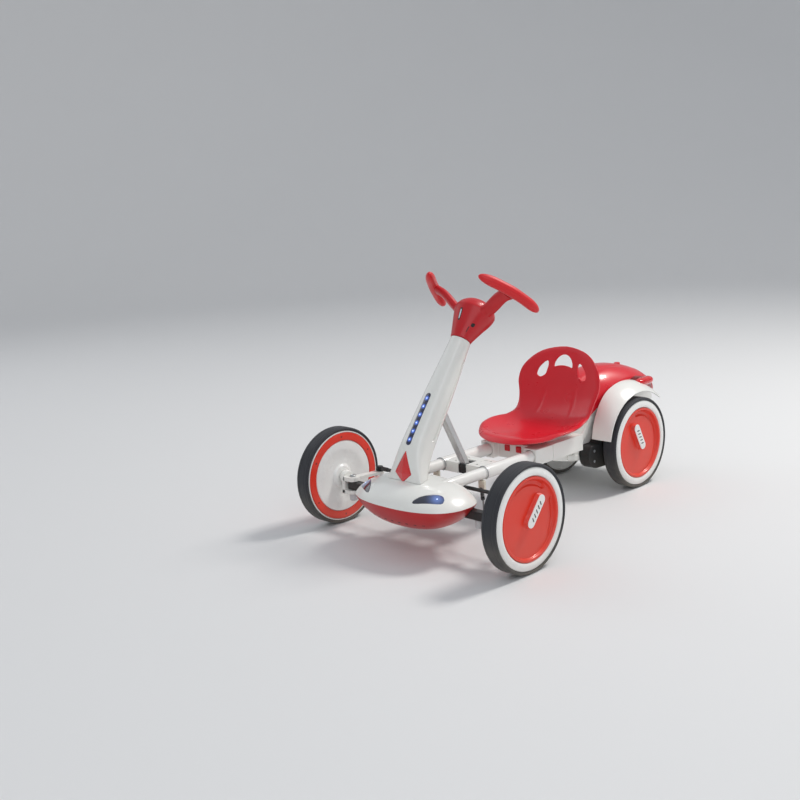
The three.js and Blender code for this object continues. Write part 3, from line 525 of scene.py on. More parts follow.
def poly_sd(pts, x, y):
    """Signed distance to a closed polygon, negative inside."""
    best, inside, n = 1e9, False, len(pts)
    for i in range(n):
        ax, ay = pts[i]
        bx, by = pts[(i + 1) % n]
        dx, dy = bx - ax, by - ay
        L = dx * dx + dy * dy
        t = clamp(((x - ax) * dx + (y - ay) * dy) / L) if L else 0
        best = min(best, math.hypot(x - ax - dx * t, y - ay - dy * t))
        if (ay > y) != (by > y) and x < (bx - ax) * (y - ay) / (by - ay) + ax:
            inside = not inside
    return -best if inside else best


def capsule_sd(x, y, x0, y0, x1, y1, r):
    dx, dy = x1 - x0, y1 - y0
    t = clamp(((x - x0) * dx + (y - y0) * dy) / (dx * dx + dy * dy))
    return math.hypot(x - x0 - dx * t, y - y0 - dy * t) - r


def cut_grid(S, us, vs, keep):
    """Grid over S(u, v) trimmed exactly where any keep(point, u, v) is negative. Gives vertices and faces."""
    nu, nv = len(us), len(vs)
    uv = [(u, v) for u in us for v in vs]
    P = [S(u, v) for u, v in uv]
    du, dv = (us[-1] - us[0]) / (nu - 1), (vs[-1] - vs[0]) / (nv - 1)
    bm = bmesh.new()
    bv = [bm.verts.new(p) for p in P]
    uvof = {v: w for v, w in zip(bv, uv)}
    bm.verts.ensure_lookup_table()
    for i in range(nu - 1):
        for j in range(nv - 1):
            q = (bv[i * nv + j], bv[(i + 1) * nv + j], bv[(i + 1) * nv + j + 1], bv[i * nv + j + 1])
            bm.faces.new(q)
    bmesh.ops.remove_doubles(bm, verts=bm.verts, dist=1e-5)
    uvof = {v: w for v, w in uvof.items() if v.is_valid}
    for g in keep:
        val = {}
        for v in bm.verts:
            u, w = uvof[v]
            val[v] = g(np.array(v.co), u, w)
        # move near vertices onto the cut line, so that it leaves no slivers
        for v in list(bm.verts):
            e0 = min((e.calc_length() for e in v.link_edges), default=0)
            if abs(val[v]) < 0.34 * e0 and abs(val[v]) > 1e-7:
                u, w = uvof[v]
                p0 = np.array(v.co)
                hu, hv = du * 0.05, dv * 0.05
                su = 1 if u + hu <= us[-1] else -1
                sv = 1 if w + hv <= vs[-1] else -1
                pu, pv = S(u + su * hu, w), S(u, w + sv * hv)
                lu, lv = np.linalg.norm(pu - p0), np.linalg.norm(pv - p0)
                if lu < 1e-9 or lv < 1e-9:
                    continue
                gu = (g(pu, u + su * hu, w) - val[v]) / lu
                gv = (g(pv, u, w + sv * hv) - val[v]) / lv
                n2 = gu * gu + gv * gv
                if n2 < 0.2:
                    continue
                nu_, nv_ = u - val[v] * gu / n2 / lu * su * hu, w - val[v] * gv / n2 / lv * sv * hv
                if not (us[0] <= nu_ <= us[-1] and vs[0] <= nv_ <= vs[-1]):
                    continue
                q = S(nu_, nv_)
                if np.linalg.norm(q - p0) > e0 * 0.6:
                    continue
                v.co = q
                uvof[v] = (nu_, nv_)
                val[v] = 0.0
        zero = {v for v in bm.verts if abs(val[v]) <= 1e-7}
        for e in [e for e in bm.edges if val[e.verts[0]] * val[e.verts[1]] < 0]:
            a, b = e.verts
            (ua, wa), (ub, wb) = uvof[a], uvof[b]
            lo_t, hi_t, fa = 0.0, 1.0, val[a]
            t = val[a] / (val[a] - val[b])
            for _ in range(6):
                f = g(S(lerp(ua, ub, t), lerp(wa, wb, t)), lerp(ua, ub, t), lerp(wa, wb, t))
                if abs(f) < 0.01:
                    break
                if f * fa > 0:
                    lo_t = t
                else:
                    hi_t = t
                t = (lo_t + hi_t) / 2
            q = S(lerp(ua, ub, t), lerp(wa, wb, t))
            _, nv2 = bmesh.utils.edge_split(e, a, t)
            nv2.co = q
            uvof[nv2] = (lerp(ua, ub, t), lerp(wa, wb, t))
            val[nv2] = 0.0
            zero.add(nv2)
        if zero:
            bmesh.ops.connect_verts(bm, verts=list(zero))
        dead = [f for f in bm.faces if sum(val[v] for v in f.verts) < 0]
        bmesh.ops.delete(bm, geom=dead, context="FACES")
        loose = [v for v in bm.verts if not v.link_faces]
        bmesh.ops.delete(bm, geom=loose, context="VERTS")
        uvof = {v: w for v, w in uvof.items() if v.is_valid}
    bm.verts.index_update()
    v = [tuple(x.co) for x in bm.verts]
    f = [tuple(x.index for x in fc.verts) for fc in bm.faces]
    bm.free()
    return v, f


def boolean(o, tool_vf, op="DIFFERENCE"):
    """Cut or join with a closed mesh, applied before the object's later modifiers."""
    me = bpy.data.meshes.new("tool")
    me.from_pydata([mm(v) for v in tool_vf[0]], [], [tuple(f) for f in tool_vf[1]])
    bm = bmesh.new()
    bm.from_mesh(me)
    bmesh.ops.recalc_face_normals(bm, faces=bm.faces)
    bm.to_mesh(me)
    bm.free()
    t = bpy.data.objects.new("tool", me)
    bpy.context.scene.collection.objects.link(t)
    keep = bpy.data.objects.new("hold", o.data.copy())
    bpy.context.scene.collection.objects.link(keep)
    b = keep.modifiers.new("b", "BOOLEAN")
    b.operation, b.object, b.solver = op, t, "EXACT"
    dg = bpy.context.evaluated_depsgraph_get()
    dg.update()
    res = bpy.data.meshes.new_from_object(keep.evaluated_get(dg))
    mats = list(o.data.materials)
    o.data = res
    o.data.materials.clear()
    for m in mats:
        o.data.materials.append(m)
    for p in o.data.polygons:
        p.use_smooth = True
    bpy.data.objects.remove(t)
    bpy.data.objects.remove(keep)
    return o

# ------------------------------------------------------------------ wheels
def crescents(theta, spans):
    """Depth weight of the groove at angle theta for spans [(from, to, fade_in, fade_out)], degrees."""
    w = 0.0
    for a, b, fa, fb in spans:
        t = (theta - a) % 360
        L = b - a
        if t <= L:
            w = max(w, smooth(t / fa) * smooth((L - t) / fb))
    return w


def disc_face(tag, s, x, y, z, slant, spans, body):
    o = x + s * WHEEL_W / 2
    c, sn = math.cos(math.radians(slant)), math.sin(math.radians(slant))
    bx, by = 18 * c, 18 * sn

    def depth(r, th):
        a, b = r * math.cos(th), r * math.sin(th)
        d = 1.4 + 5.6 * (1 - smooth((r - 74) / 3.0))
        w = crescents(math.degrees(th) % 360, spans)
        q = (r - 68.5) / (5.2 * (0.35 + 0.65 * w))
        if w > 0 and abs(q) < 1.6:
            d += 3.9 * w ** 0.5 * (1 - smooth((abs(q) - 0.55) / 0.75))
        pd = capsule_sd(a, b, bx - 25 * c, by - 25 * sn, bx + 25 * c, by + 25 * sn, 10.2)
        d -= (d + 0.9) * (1 - smooth(pd / 1.3)) if pd < 1.4 else 0
        return d

    rs = sorted(set([0] + [1.6 * i for i in range(1, 37)] + [58.4 + 0.62 * i for i in range(0, 36)] + [80.7, 81.2]))
    seg = 300
    v, f = [], []
    for r in rs:
        for k in range(seg):
            th = 2 * math.pi * k / seg
            if r == 0:
                v.append((o - s * depth(0.01, 0), y, z))
            else:
                v.append((o - s * depth(r, th), y + r * math.cos(th), z + r * math.sin(th)))
    for rr, dd in ((81.55, 2.2), (81.6, 11.4)):
        rs.append(rr)
        for k in range(seg):
            th = 2 * math.pi * k / seg
            v.append((o - s * dd, y + rr * math.cos(th), z + rr * math.sin(th)))
    n = len(rs)
    for i in range(n - 1):
        for k in range(seg):
            k2 = (k + 1) % seg
            f.append((i * seg + k, (i + 1) * seg + k, (i + 1) * seg + k2, i * seg + k2))
    f.append(tuple(range((n - 1) * seg, n * seg)))
    put(f"{tag}_disc_face", v, f, DISC, body, rep=f"{tag}_cover_disc", weighted=False)


def capsule_outline(cy, cz, c, sn, half, r, k=14):
    pts = []
    base = math.atan2(sn, c)
    for side, sgn in ((-math.pi / 2, 1), (math.pi / 2, -1)):
        for i in range(k + 1):
            t = base + side + math.pi * i / k
            pts.append((cy + sgn * half * c + r * math.cos(t), cz + sgn * half * sn + r * math.sin(t)))
    return pts


def wheel(tag, s, x, y, slant, spans, body, front):
    z = WHEEL_R
    o = x + s * WHEEL_W / 2
    m = lambda pts: [(o - s * d, r) for d, r in pts]
    # tyre: crowned band with soft shoulders and two fine mould grooves
    prof = rounded([(2.8, 99.0), (0.7, 101.6), (1.3, 104.2), (4.6, 105.9), (9.4, 106), (10.2, 105.3), (11, 106), (25, 106), (25.8, 105.3), (26.6, 106), (31.4, 105.9), (34.7, 104.2), (35.3, 101.6), (33.2, 99.0)],
                   [0.3, 0.8, 1.6, 2, 0.3, 0.4, 0.3, 0.3, 0.4, 0.3, 2, 1.6, 0.8, 0.3], 4)
    v, f = lathe_x(m(prof), y, z, 160)
    put(f"{tag}_tyre_skin", v, f, RUBBER, body, rep=f"{tag}_tyre", weighted=False)
    # rim: full round outer bead, stepped inner side, hub
    prof = rounded([(12, 6.3), (12, 82.2), (3.2, 82.2), (0.5, 84.4), (0.0, 88.5), (0.5, 93), (2.2, 97.4), (3.6, 98.7), (33.2, 98.7), (34.4, 97.8), (34.4, 96.2), (31.2, 95.6), (31.0, 77.8), (34.6, 77.0), (34.2, 60), (30.5, 40), (29.5, 26), (33.5, 22), (34.4, 20), (34.4, 6.3)],
                   [0.2, 0.2, 1.6, 2.2, 3, 3, 1.6, 0.6, 0.4, 0.6, 0.4, 0.3, 0.3, 1, 6, 5, 2.4, 1.6, 1, 0.2], 5)
    v, f = lathe_x(m(prof), y, z, 160)
    put(f"{tag}_rim_skin", v, f, SHOULDER, body, rep=f"{tag}_rim", weighted=False)
    if front:
        prof = rounded([(31.4, 78.4), (31.4, 95.3), (34.9, 94.9), (35.4, 92.5), (35.4, 81.2), (34.9, 78.5)], [0.1, 0.1, 0.8, 1.2, 1.2, 0.8], 4)
        v, f = lathe_x(m(prof), y, z, 160)
        put(f"{tag}_ring_skin", v, f, DISC, body, rep=f"{tag}_inner_ring", weighted=False)
        # screws sunk in the ring
        sc = Mesh()
        for k in range(6):
            t = math.radians(90 + 60 * k)
            cy, cz = y + 87 * math.cos(t), z + 87 * math.sin(t)
            sc.add(lathe_screw(o - s * 35.2, cy, cz, -s, 2.3))
        put(f"{tag}_ring_screws", sc.v, sc.f, BLACK, body, sharp=30)
    # hub cap on the inner side
    disc_face(tag, s, x, y, z, slant, spans, body)
    c, sn = math.cos(math.radians(slant)), math.sin(math.radians(slant))
    cy, cz = y + 18 * c, z + 18 * sn
    top = capsule_outline(cy, cz, c, sn, 25, 9.6)
    v, f = prism(top, "x", o + s * 0.6, o + s * 2.85)
    put(f"{tag}_badge_plate", v, f, SHOULDER, body, rep=f"{tag}_badge", bevel=0.9, seg=3)
    # plain slanted bars in place of the printed word
    bars = Mesh()
    for k in range(5):
        d = -18 + 9 * k
        L = 4.6
        px, pz = cy + d * c, cz + d * sn
        a = math.atan2(sn, c) + math.radians(62)
        ca, sa = math.cos(a), math.sin(a)
        w = 1.15
        q = [(px + L * ca - w * sa * -1, pz + L * sa + w * ca * -1), (px + L * ca + w * sa * -1, pz + L * sa - w * ca * -1), (px - L * ca + w * sa * -1, pz - L * sa - w * ca * -1), (px - L * ca - w * sa * -1, pz - L * sa + w * ca * -1)]
        bars.add(prism(rounded(q, 1.0, 3), "x", o + s * 2.6, o + s * 3.15))
    put(f"{tag}_badge_bars", bars.v, bars.f, BLACK, body, sharp=30)


def lathe_screw(x, y, z, s, r):
    """Small pan-head screw facing s along X."""
    rows = [(0.0, r), (0.5, r), (0.9, r * 0.8), (1.05, r * 0.45), (0.5, r * 0.3)]
    v, f, seg = [], [], 14
    for d, q in rows:
        for k in range(seg):
            t = 2 * math.pi * k / seg
            v.append((x + s * d * 0.25, y + q * math.cos(t), z + q * math.sin(t)))
    for i in range(len(rows) - 1):
        for k in range(seg):
            k2 = (k + 1) % seg
            f.append((i * seg + k, (i + 1) * seg + k, (i + 1) * seg + k2, i * seg + k2))
    f.append(tuple(range(seg)))
    f.append(tuple(range((len(rows) - 1) * seg, len(rows) * seg)))
    return v, f


FRONT_SPANS = [(46, 128, 7, 60), (-40, 24, 45, 6)]
REAR_SPANS = [(-38, 103, 45, 6)]
wheel("front_left_wheel", 1, FRONT_X, 0, 50, FRONT_SPANS, "front_left_wheel", True)
wheel("front_right_wheel", -1, -FRONT_X, 0, 50, FRONT_SPANS, "front_right_wheel", True)
wheel("rear_left_wheel", 1, REAR_X, REAR_Y, 118, REAR_SPANS, "rear_left_wheel", False)
wheel("rear_right_wheel", -1, -REAR_X, REAR_Y, 118, REAR_SPANS, "rear_right_wheel", False)

# -------------------------------------------------------------- front axle
v, f = box(0, 0, AXLE_Z, 2 * 221.4, 18, 18)
ax = put("axle_bar_skin", v, f, STEEL_B, ROOT, rep="front_axle_bar", bevel=1.6, seg=3)
for s, side in ((1, "left"), (-1, "right")):
    top, bot = AXLE_Z + 10, AXLE_Z - 10
    g = Mesh()

    def plate(z0, z1):
        return prism([(KX - 1 + 14 * math.cos(t), 14.5 * math.sin(t)) for t in [math.radians(90 + 10 * i) for i in range(19)]] + [(KX + 20, -14.5), (KX + 20, 14.5)], "z", z0, z1)

    g.add(plate(top, top + 9)).add(plate(bot - 8, bot))
    g.add(prism([(KX + 12, -14.5), (KX + 20, -14.5), (KX + 20, 14.5), (KX + 12, 14.5)], "z", bot - 8, top + 9))
    # swept rounded boss that carries the stub axle
    rows = [(KX + 15, 17.5, 17), (KX + 20.5, 17, 16.5), (KX + 24, 14.6, 14.6), (FRONT_X - 17.6, 12.4, 12.4)]
    g.add(loft([ring(V(x, 0, lerp(100, WHEEL_R, clamp((x - KX - 15) / 9))), V(1, 0, 0), a, b, n=40) for x, a, b in rows]))
    g.add(prism(rounded([(KX - 9, 6), (KX + 9, 6), (KX + 1, 40), (KX - 4, 68), (KX - 8, 76), (KX - 19, 77), (KX - 24, 70), (KX - 21, 62), (KX - 14, 40)], [1, 1, 10, 6, 6, 5, 5, 6, 8], 4), "z", top + 1, top + 8))
    g.add(rod(V(KX + 16, 0, WHEEL_R), V(FRONT_X + 5, 0, WHEEL_R), 5.8, n=24))
    # stiffening ribs on the outer web
    for yy in (-9.5, 9.5):
        g.add(prism([(KX + 19, bot - 6), (KX + 25, 92), (KX + 25, 98), (KX + 19, top + 8)], "y", yy - 1.5, yy + 1.5))
    gm = g if s > 0 else g.mirror()
    kb = f"knuckle_{side}"
    put(f"knuckle_skin_{side}", gm.v, gm.f, WHITE, kb, rep=f"front_{side}_knuckle", bevel=1.5, seg=3, angle=42)
    # king pin with a sunk cap screw
    pin = Mesh()
    pin.add(rod(V(s * KX, 0, 62), V(s * KX, 0, top + 9.4), 4, n=24))
    pin.add(loft([ring(V(s * KX, 0, z), V(0, 0, 1), r, n=32) for z, r in ((top + 9.1, 6.6), (top + 11.2, 6.6), (top + 12.4, 5.6), (top + 12.7, 3.4), (top + 11.6, 2.6))]))
    pin.add(rod(V(s * KX, 0, 63.6), V(s * KX, 0, bot - 8.1), 6.2, n=6))
    put(f"kingpin_skin_{side}", pin.v, pin.f, ZINC, ROOT, rep=f"front_{side}_kingpin", bevel=0.5, seg=2, angle=30)
    # plain bush hanging under the pin
    b = loft([ring(V(s * KX, 0, z), V(0, 0, 1), r, n=36) for z, r in ((71.8, 9.4), (67, 9.6), (58, 8.6), (55.6, 7.4), (55.4, 3.2), (58, 3))])
    put(f"kingpin_bush_{side}", b[0], b[1], GREY, ROOT, bevel=0.6)

TIE_X, TIE_Y, TIE_Z = KX - 14, 68.0, AXLE_Z + 24
t = Mesh()
t.add(rod(V(-TIE_X, TIE_Y, TIE_Z), V(TIE_X, TIE_Y, TIE_Z), 4, n=24))
for s in (1, -1):
    t.add(loft([ring(V(s * TIE_X, TIE_Y, z), V(0, 0, 1), r, n=32) for z, r in ((TIE_Z - 5.6, 7.4), (TIE_Z - 5, 8), (TIE_Z + 4, 8), (TIE_Z + 5, 7.2))]))
    t.add(rod(V(s * (TIE_X - 26), TIE_Y, TIE_Z), V(s * (TIE_X - 8), TIE_Y, TIE_Z), 5.2, n=6))
put("tie_rod_skin", t.v, t.f, STEEL_B, "tie_rod", rep="tie_rod", bevel=0.5)
v, f = box(0, 0, 113.2, 150, 21, 21)
fb = put("front_bracket_skin", v, f, STEEL_B, ROOT, rep="front_bracket", bevel=1.2)

# ------------------------------------------------------------------- rails
for s, side in ((1, "left"), (-1, "right")):
    X = s * RAIL_X
    v, f = loft([ring(V(X, y, RAIL_Z), V(0, 1, 0), r, n=56) for y, r in ((-8, 10.6), (-7.6, 11.6), (-6.8, 12), (20, 12), (60, 12), (100, 12), (SEAM_Y + 40, 12))])
    put(f"rail_front_{side}", v, f, WHITE_TUBE, ROOT, rep=f"front_rail_{side}", weighted=False, sharp=50)
    ys = [(SEAM_Y, 12.3), (SEAM_Y, 13.0), (SEAM_Y + 0.7, 13.6), (SEAM_Y + 1.4, 13.7), (SEAM_Y + 40, 13.6), (200, 13.6), (300, 13.6), (RAIL_END - 0.8, 13.6), (RAIL_END, 12.8), (RAIL_END, 12.3), (SEAM_Y + 42, 12.3)]
    v, f = loft([ring(V(X, y, RAIL_Z), V(0, 1, 0), r, n=56) for y, r in ys], cap=False, loop=True)
    put(f"rail_rear_{side}", v, f, WHITE_TUBE, ROOT, rep=f"rear_rail_{side}", weighted=False, sharp=50)
    # grey wire clip round the tube at its seam
    wire = []
    R = 14.1
    for i in range(41):
        a = math.radians(-62 + 304 * i / 40)
        wire.append(V(X + R * math.cos(a), SEAM_Y - 1.2, RAIL_Z + R * math.sin(a)))
    v, f = sweep(wire, circle(0.85, 10))
    put(f"rail_clip_{side}", v, f, ZINC, ROOT, weighted=False)
    # tab under the seam, its hook and the sprung link down to the axle
    g = Mesh()
    out = rounded([(X + s * -4, 99), (X + s * 12, 99), (X + s * 12, 121), (X + s * -4, 121)], [3, 3, 1, 1], 5)
    g.add(prism(out, "y", 104, 110))
    g.add(prism(rounded([(X + s * -2.2, 112), (X + s * 10.2, 112), (X + s * 9, 121.5), (X + s * -1, 121.5)], 1, 3), "y", 102.6, 111.4))
    put(f"stay_tab_{side}", g.v, g.f, CREAM, ROOT, rep=f"frame_stay_{side}", bevel=0.8, seg=3)
    a, b = V(X + s * 4, 106, 101.5), V(s * 150, 11.9, 99.5)
    h = Mesh()
    loop = [V(X + s * 4 + 4.6 * math.sin(math.radians(q)) * s, 107 - 4, 102 + 3.4 * math.cos(math.radians(q))) for q in range(-30, 331, 12)]
    h.add(sweep(loop, circle(1.0, 10)))
    d = unit(b - a)
    p0, p1, p2 = a + d * 6, a + d * 18, a + d * 62
    h.add(rod(a + d * 1, p1, 1.3, n=12))
    coil = []
    u1, u2, _ = frame_of(d)
    turns = 15
    for i in range(turns * 14 + 1):
        q = 2 * math.pi * i / 14
        coil.append(p1 + (p2 - p1) * (i / (turns * 14)) + u1 * 3.4 * math.cos(q) + u2 * 3.4 * math.sin(q))
    h.add(sweep(coil, circle(0.75, 8)))
    h.add(rod(p2 - d * 2, b, 1.5, n=12))
    put(f"stay_link_{side}", h.v, h.f, STEEL_B, ROOT, sharp=45, weighted=False)

# ---------------------------------------------------------------- nose pod
def pod_k(x, y, a=POD_A, b=POD_B):
    return (abs(x / a) ** POD_N + abs((y - POD_Y0) / b) ** POD_N) ** (1 / POD_N)


def dome_z(x, y, top=POD_TOP, grow=0.0):
    k = min(0.99999, pod_k(x, y, POD_A + grow, POD_B + grow))
    return SEAM_Z + top * (1 - k ** 2.9) ** 0.8


def pod_point(k, t, top, power, sign):
    c, s = math.cos(t), math.sin(t)
    r = 1 / (abs(c) ** POD_N + abs(s) ** POD_N) ** (1 / POD_N)
    z = SEAM_Z + sign * top * max(0.0, 1 - k ** 2.9) ** power
    return V(POD_A * k * r * c, POD_Y0 + POD_B * k * r * s, z)


def lamp_outline(grow):
    p0, p1 = (62, -95), (110, -58)
    dx, dy = p1[0] - p0[0], p1[1] - p0[1]
    L = math.hypot(dx, dy)
    ux, uy = dx / L, dy / L
    rows = [(-1 - 2 * grow, 0), (0.3, 1.7), (3, 3.1), (12, 5.6), (26, 8.1), (40, 9.7), (50, 10), (56, 9.2), (59.6, 6.8), (61, 3.2), (61.4 + 2 * grow, 0)]
    a = [(p0[0] + ux * t - uy * (w and w + grow), p0[1] + uy * t + ux * (w and w + grow)) for t, w in rows]
    b = [(p0[0] + ux * t + uy * (w + grow), p0[1] + uy * t - ux * (w + grow)) for t, w in reversed(rows[1:-1])]
    return a + b


LAMP, LAMP_IN = lamp_outline(0.35), lamp_outline(0.0)


# the grid is even in its own parameter so that trimming can step through it
up_s = lambda i, t: pod_point(1 - (1 - i) ** 1.9, t, POD_TOP, 0.8, 1)
keep = [
    lambda p, u, w: poly_sd(LAMP, p[0], p[1]),
    lambda p, u, w: poly_sd(LAMP, -p[0], p[1]),
    lambda p, u, w: max(math.hypot(p[0] - RAIL_X, p[2] - RAIL_Z) - 12.9, -9.5 - p[1]),
    lambda p, u, w: max(math.hypot(p[0] + RAIL_X, p[2] - RAIL_Z) - 12.9, -9.5 - p[1]),
]
v, f = cut_grid(up_s, [i / 70 for i in range(71)], [2 * math.pi * i / 200 for i in range(201)], keep)
put("pod_upper_skin", v, f, WHITE, ROOT, rep="pod_upper_cover", solid=3, bevel=0.7, seg=3, angle=40, out=(0, POD_Y0, 90))

lo_s = lambda i, t: pod_point(1 - (1 - i) ** 1.9, t, POD_BOT, 0.8, -1) - V(0, 0, 0.35)


keep = [lambda p, u, w: max(abs(p[1]), abs(p[2] - AXLE_Z)) - 10.0]
v, f = cut_grid(lo_s, [i / 70 for i in range(71)], [2 * math.pi * i / 360 for i in range(361)], keep)
put("pod_lower_skin", v, f, RED_POD, ROOT, rep="pod_lower_cover", solid=3, bevel=0.6, seg=2, angle=45, out=(0, POD_Y0, 120))
# small dark vents round the lower front
g = Mesh()
for q in range(11):
    t0 = math.radians(220 + 10 * q)
    rr = []
    for h, grow in ((-1.2, 1.0), (0.15, 1.0), (0.35, 0.82)):
        pts = []
        for j in range(24):
            a = 2 * math.pi * j / 24
            p = pod_point(0.778 + 0.014 * grow * spow(math.sin(a), 0.5), t0 + 0.034 * grow * spow(math.cos(a), 0.5), POD_BOT, 0.8, -1)
            pts.append(p + unit(p - V(0, POD_Y0, SEAM_Z)) * h)
        rr.append(pts)
    g.add(loft(rr))
put("pod_vents", g.v, g.f, BLACK, ROOT, weighted=False, sharp=40)
# plain bushes under the axle bar
g = Mesh()
for s in (1, -1):
    g.add(loft([ring(V(s * 148, 0, z), V(0, 0, 1), r, n=36) for z, r in ((80.6, 8.2), (79.8, 8.6), (66, 8.4), (64.2, 7.4), (64, 3))]))
put("axle_bushes", g.v, g.f, GREY, ROOT, bevel=0.5)
# dark rebate between the two covers
rows = []
for i in range(160):
    t = 2 * math.pi * i / 160
    p = pod_point(0.985, t, 0, 1, 1)
    rows.append([p + V(0, 0, -1.6), p + V(0, 0, 1.6), (p + V(0, 0, 1.6)) * V(0.97, 1, 1), (p + V(0, 0, -1.6)) * V(0.97, 1, 1)])
v, f = loft(rows, cap=False, loop=True)
put("pod_joint_band", v, f, BLACK, ROOT, weighted=False, sharp=40)

# headlights: smoked lens bulging a little over the cover, lamp behind its outer end
for s, side in ((1, "left"), (-1, "right")):
    def lens_s(i, t, s=s):
        # polar grid on the lens outline about its middle
        cx, cy = 89.0, -74.5
        n = len(LAMP_IN)
        g = t * n
        k = int(g) % n
        a, b = LAMP_IN[k], LAMP_IN[(k + 1) % n]
        x, y = lerp(a[0], b[0], g - int(g)), lerp(a[1], b[1], g - int(g))
        q = i ** 0.8
        x, y = lerp(cx, x, q), lerp(cy, y, q)
        return V(s * x, y, dome_z(x, y) + 1.1 * (1 - q ** 5) - 0.25)
    n = 120
    rings = [[lens_s(i / 22, j / n) for j in range(n)] for i in range(1, 23)]
    rings.append([p + V(0, 0, -3.4) for p in rings[-1]])
    v, f = loft(rings)
    mat = lens_material(f"smoked_lens_{side}", srgb("2B2F3E"), srgb("3E4862"), (s * 0.1, (-66 + YS) * 0.001, 0.1303), 0.034, glow=(0.1, 0.17, 0.45))
    put(f"headlight_skin_{side}", v, f, mat, ROOT, rep=f"headlight_lens_{side}", weighted=False, sharp=60)
    c = V(s * 100, -66, dome_z(100, -66) + 0.55)
    v, f = loft([ring(c + V(0, 0, h), V(0, 0, 1), r, n=20) for h, r in ((-0.6, 2.0), (0.1, 1.9), (0.4, 1.5), (0.52, 0.8), (0.55, 0.2))])
    put(f"headlight_lamp_{side}", v, f, emissive(f"lamp_glow_{side}", srgb("CFE0FF"), 1.0), ROOT, weighted=False)

# ------------------------------------------------------------------ column
CW = Tab([(0, 21), (60, 22.8), (120, 24.8), (180, 27), (230, 29.5), (262, 32.5), (285, 37), (305, 43), (330, 50)])
CF = Tab([(0, 21), (60, 22), (120, 23), (180, 23.5), (230, 23), (262, 19), (285, 11), (305, 1), (330, -14)])
CB = Tab([(0, 23), (60, 30), (120, 35.5), (180, 40.5), (230, 44), (262, 47), (285, 52), (305, 58), (330, 66)])
SPLIT = Tab([(-60, 13), (225, 15), (262, 20), (300, 30), (400, 62)])


RC = Tab([(0, 0), (230, 0), (262, 1.5), (285, 5), (305, 9.5), (330, 16.5)])


def col_pw(s):
    return lerp(2, 2.7, smooth(s / 160))


def sr(p):
    """Distance down the column and distance to its rear, of a point."""
    q = p - TOP
    return -q.dot(DD), q.dot(NN)


def col_half(s, v):
    """v runs 0 at the rear centre line to 1 at the front centre line; gives (x, r)."""
    rc = RC(s)
    pw, b, w, f = col_pw(s), CB(s) - rc, CW(s), CF(s) + rc
    t_of = lambda r: math.asin(clamp((r - rc) / b) ** (pw / 2))
    if v < 0.4:
        t = lerp(math.pi / 2, t_of(18), v / 0.4)
    elif v < 0.6:
        t = t_of(lerp(18, 10, (v - 0.4) / 0.2))
    else:
        t = lerp(t_of(10), -math.pi / 2, (v - 0.6) / 0.4)
    c, q = max(0.0, math.cos(t)), math.sin(t)
    if c < 1e-9:
        c = 0.0
    x = w * spow(c, 2 / pw) if c else 0.0
    r = rc + (b if q > 0 else f) * spow(q, 2 / pw)
    # flat facet on each rear flank, coming to a point near the top
    ca, sa = math.cos(math.radians(48)), math.sin(math.radians(48))
    e = pw / (pw - 1)
    support = ((w * ca) ** e + (b * sa) ** e) ** (1 / e)
    over = x * ca + (r - rc) * sa - (support - 4.6 * clamp((s - 50) / 140))
    if over > 0 and r > rc:
        x, r = max(0.0, x - over * ca), r - over * sa
    # long round-ended groove that hides the joint of the two shells
    d = capsule_sd(s, r, 43.5, 14, 218.5, 14, 3.3)
    if q > -0.3 and d < 0.6:
        x -= 2.5 * (1 - smooth((d + 0.9) / 1.1))
    return x, r


def col_surf(rear):
    def S(s, V_):
        v = abs(V_) if rear else 1 - abs(V_)
        x, r = col_half(s, v)
        return on_col(math.copysign(x, V_ if V_ else 1), s, r)
    return S


half = [0.4 * i / 14 for i in range(14)] + [0.4 + 0.2 * i / 20 for i in range(20)] + [0.6 + 0.4 * i / 26 for i in range(27)]
rows_s = [0.4 + 334.6 * i / 170 for i in range(171)]
above_pod = lambda p, u, w: p[2] - dome_z(p[0], p[1]) - 0.9
KITE = [(0, 262), (22, 303), (0, 319), (-22, 303)]
for rear, name in ((False, "column_front_shell"), (True, "column_rear_shell")):
    vals = [(-1 if k < 0 else 1) * (h if rear else 1 - h) for k in (-1, 1) for h in half]
    vals = sorted(set(round(x, 9) for x in vals))
    sgn = -1 if rear else 1
    keeps = [lambda p, u, w, g=sgn: g * (SPLIT(sr(p)[0]) - sr(p)[1]) - 0.22, above_pod]
    if not rear:
        keeps.append(lambda p, u, w: capsule_sd(p[0], sr(p)[0], 0, 140.4, 0, 243.6, 6.8) if sr(p)[1] < 8 else 9.0)
        keeps.append(lambda p, u, w: poly_sd([(0, 261), (22.8, 303), (0, 320), (-22.8, 303)], p[0], sr(p)[0]) if sr(p)[1] < 22 else 9.0)
    v, f = cut_grid(col_surf(rear), rows_s, vals, keeps)
    put(name + "_skin", v, f, WHITE, ROOT, rep=name, solid=2.8, bevel=0.5, seg=2, angle=50, out=tuple(on_col(0, 170, 12)))


def front_pt(x, s, dr):
    pw, w, f = col_pw(s), CW(s), CF(s)
    k = max(0.0, 1 - abs(x / w) ** pw) ** (1 / pw)
    return on_col(x, s, RC(s) - (f + RC(s)) * k - dr)


# LED strip: dark blue lens with six lamps behind it
def strip_ring(q, dr):
    pts = []
    for s0, a0 in ((140.4, math.pi), (243.6, 0.0)):
        for i in range(17):
            a = a0 + math.pi * i / 16
            pts.append((6.4 * q * math.cos(a), s0 + 6.4 * q * math.sin(a)))
    return [front_pt(x, s, dr) for x, s in pts]


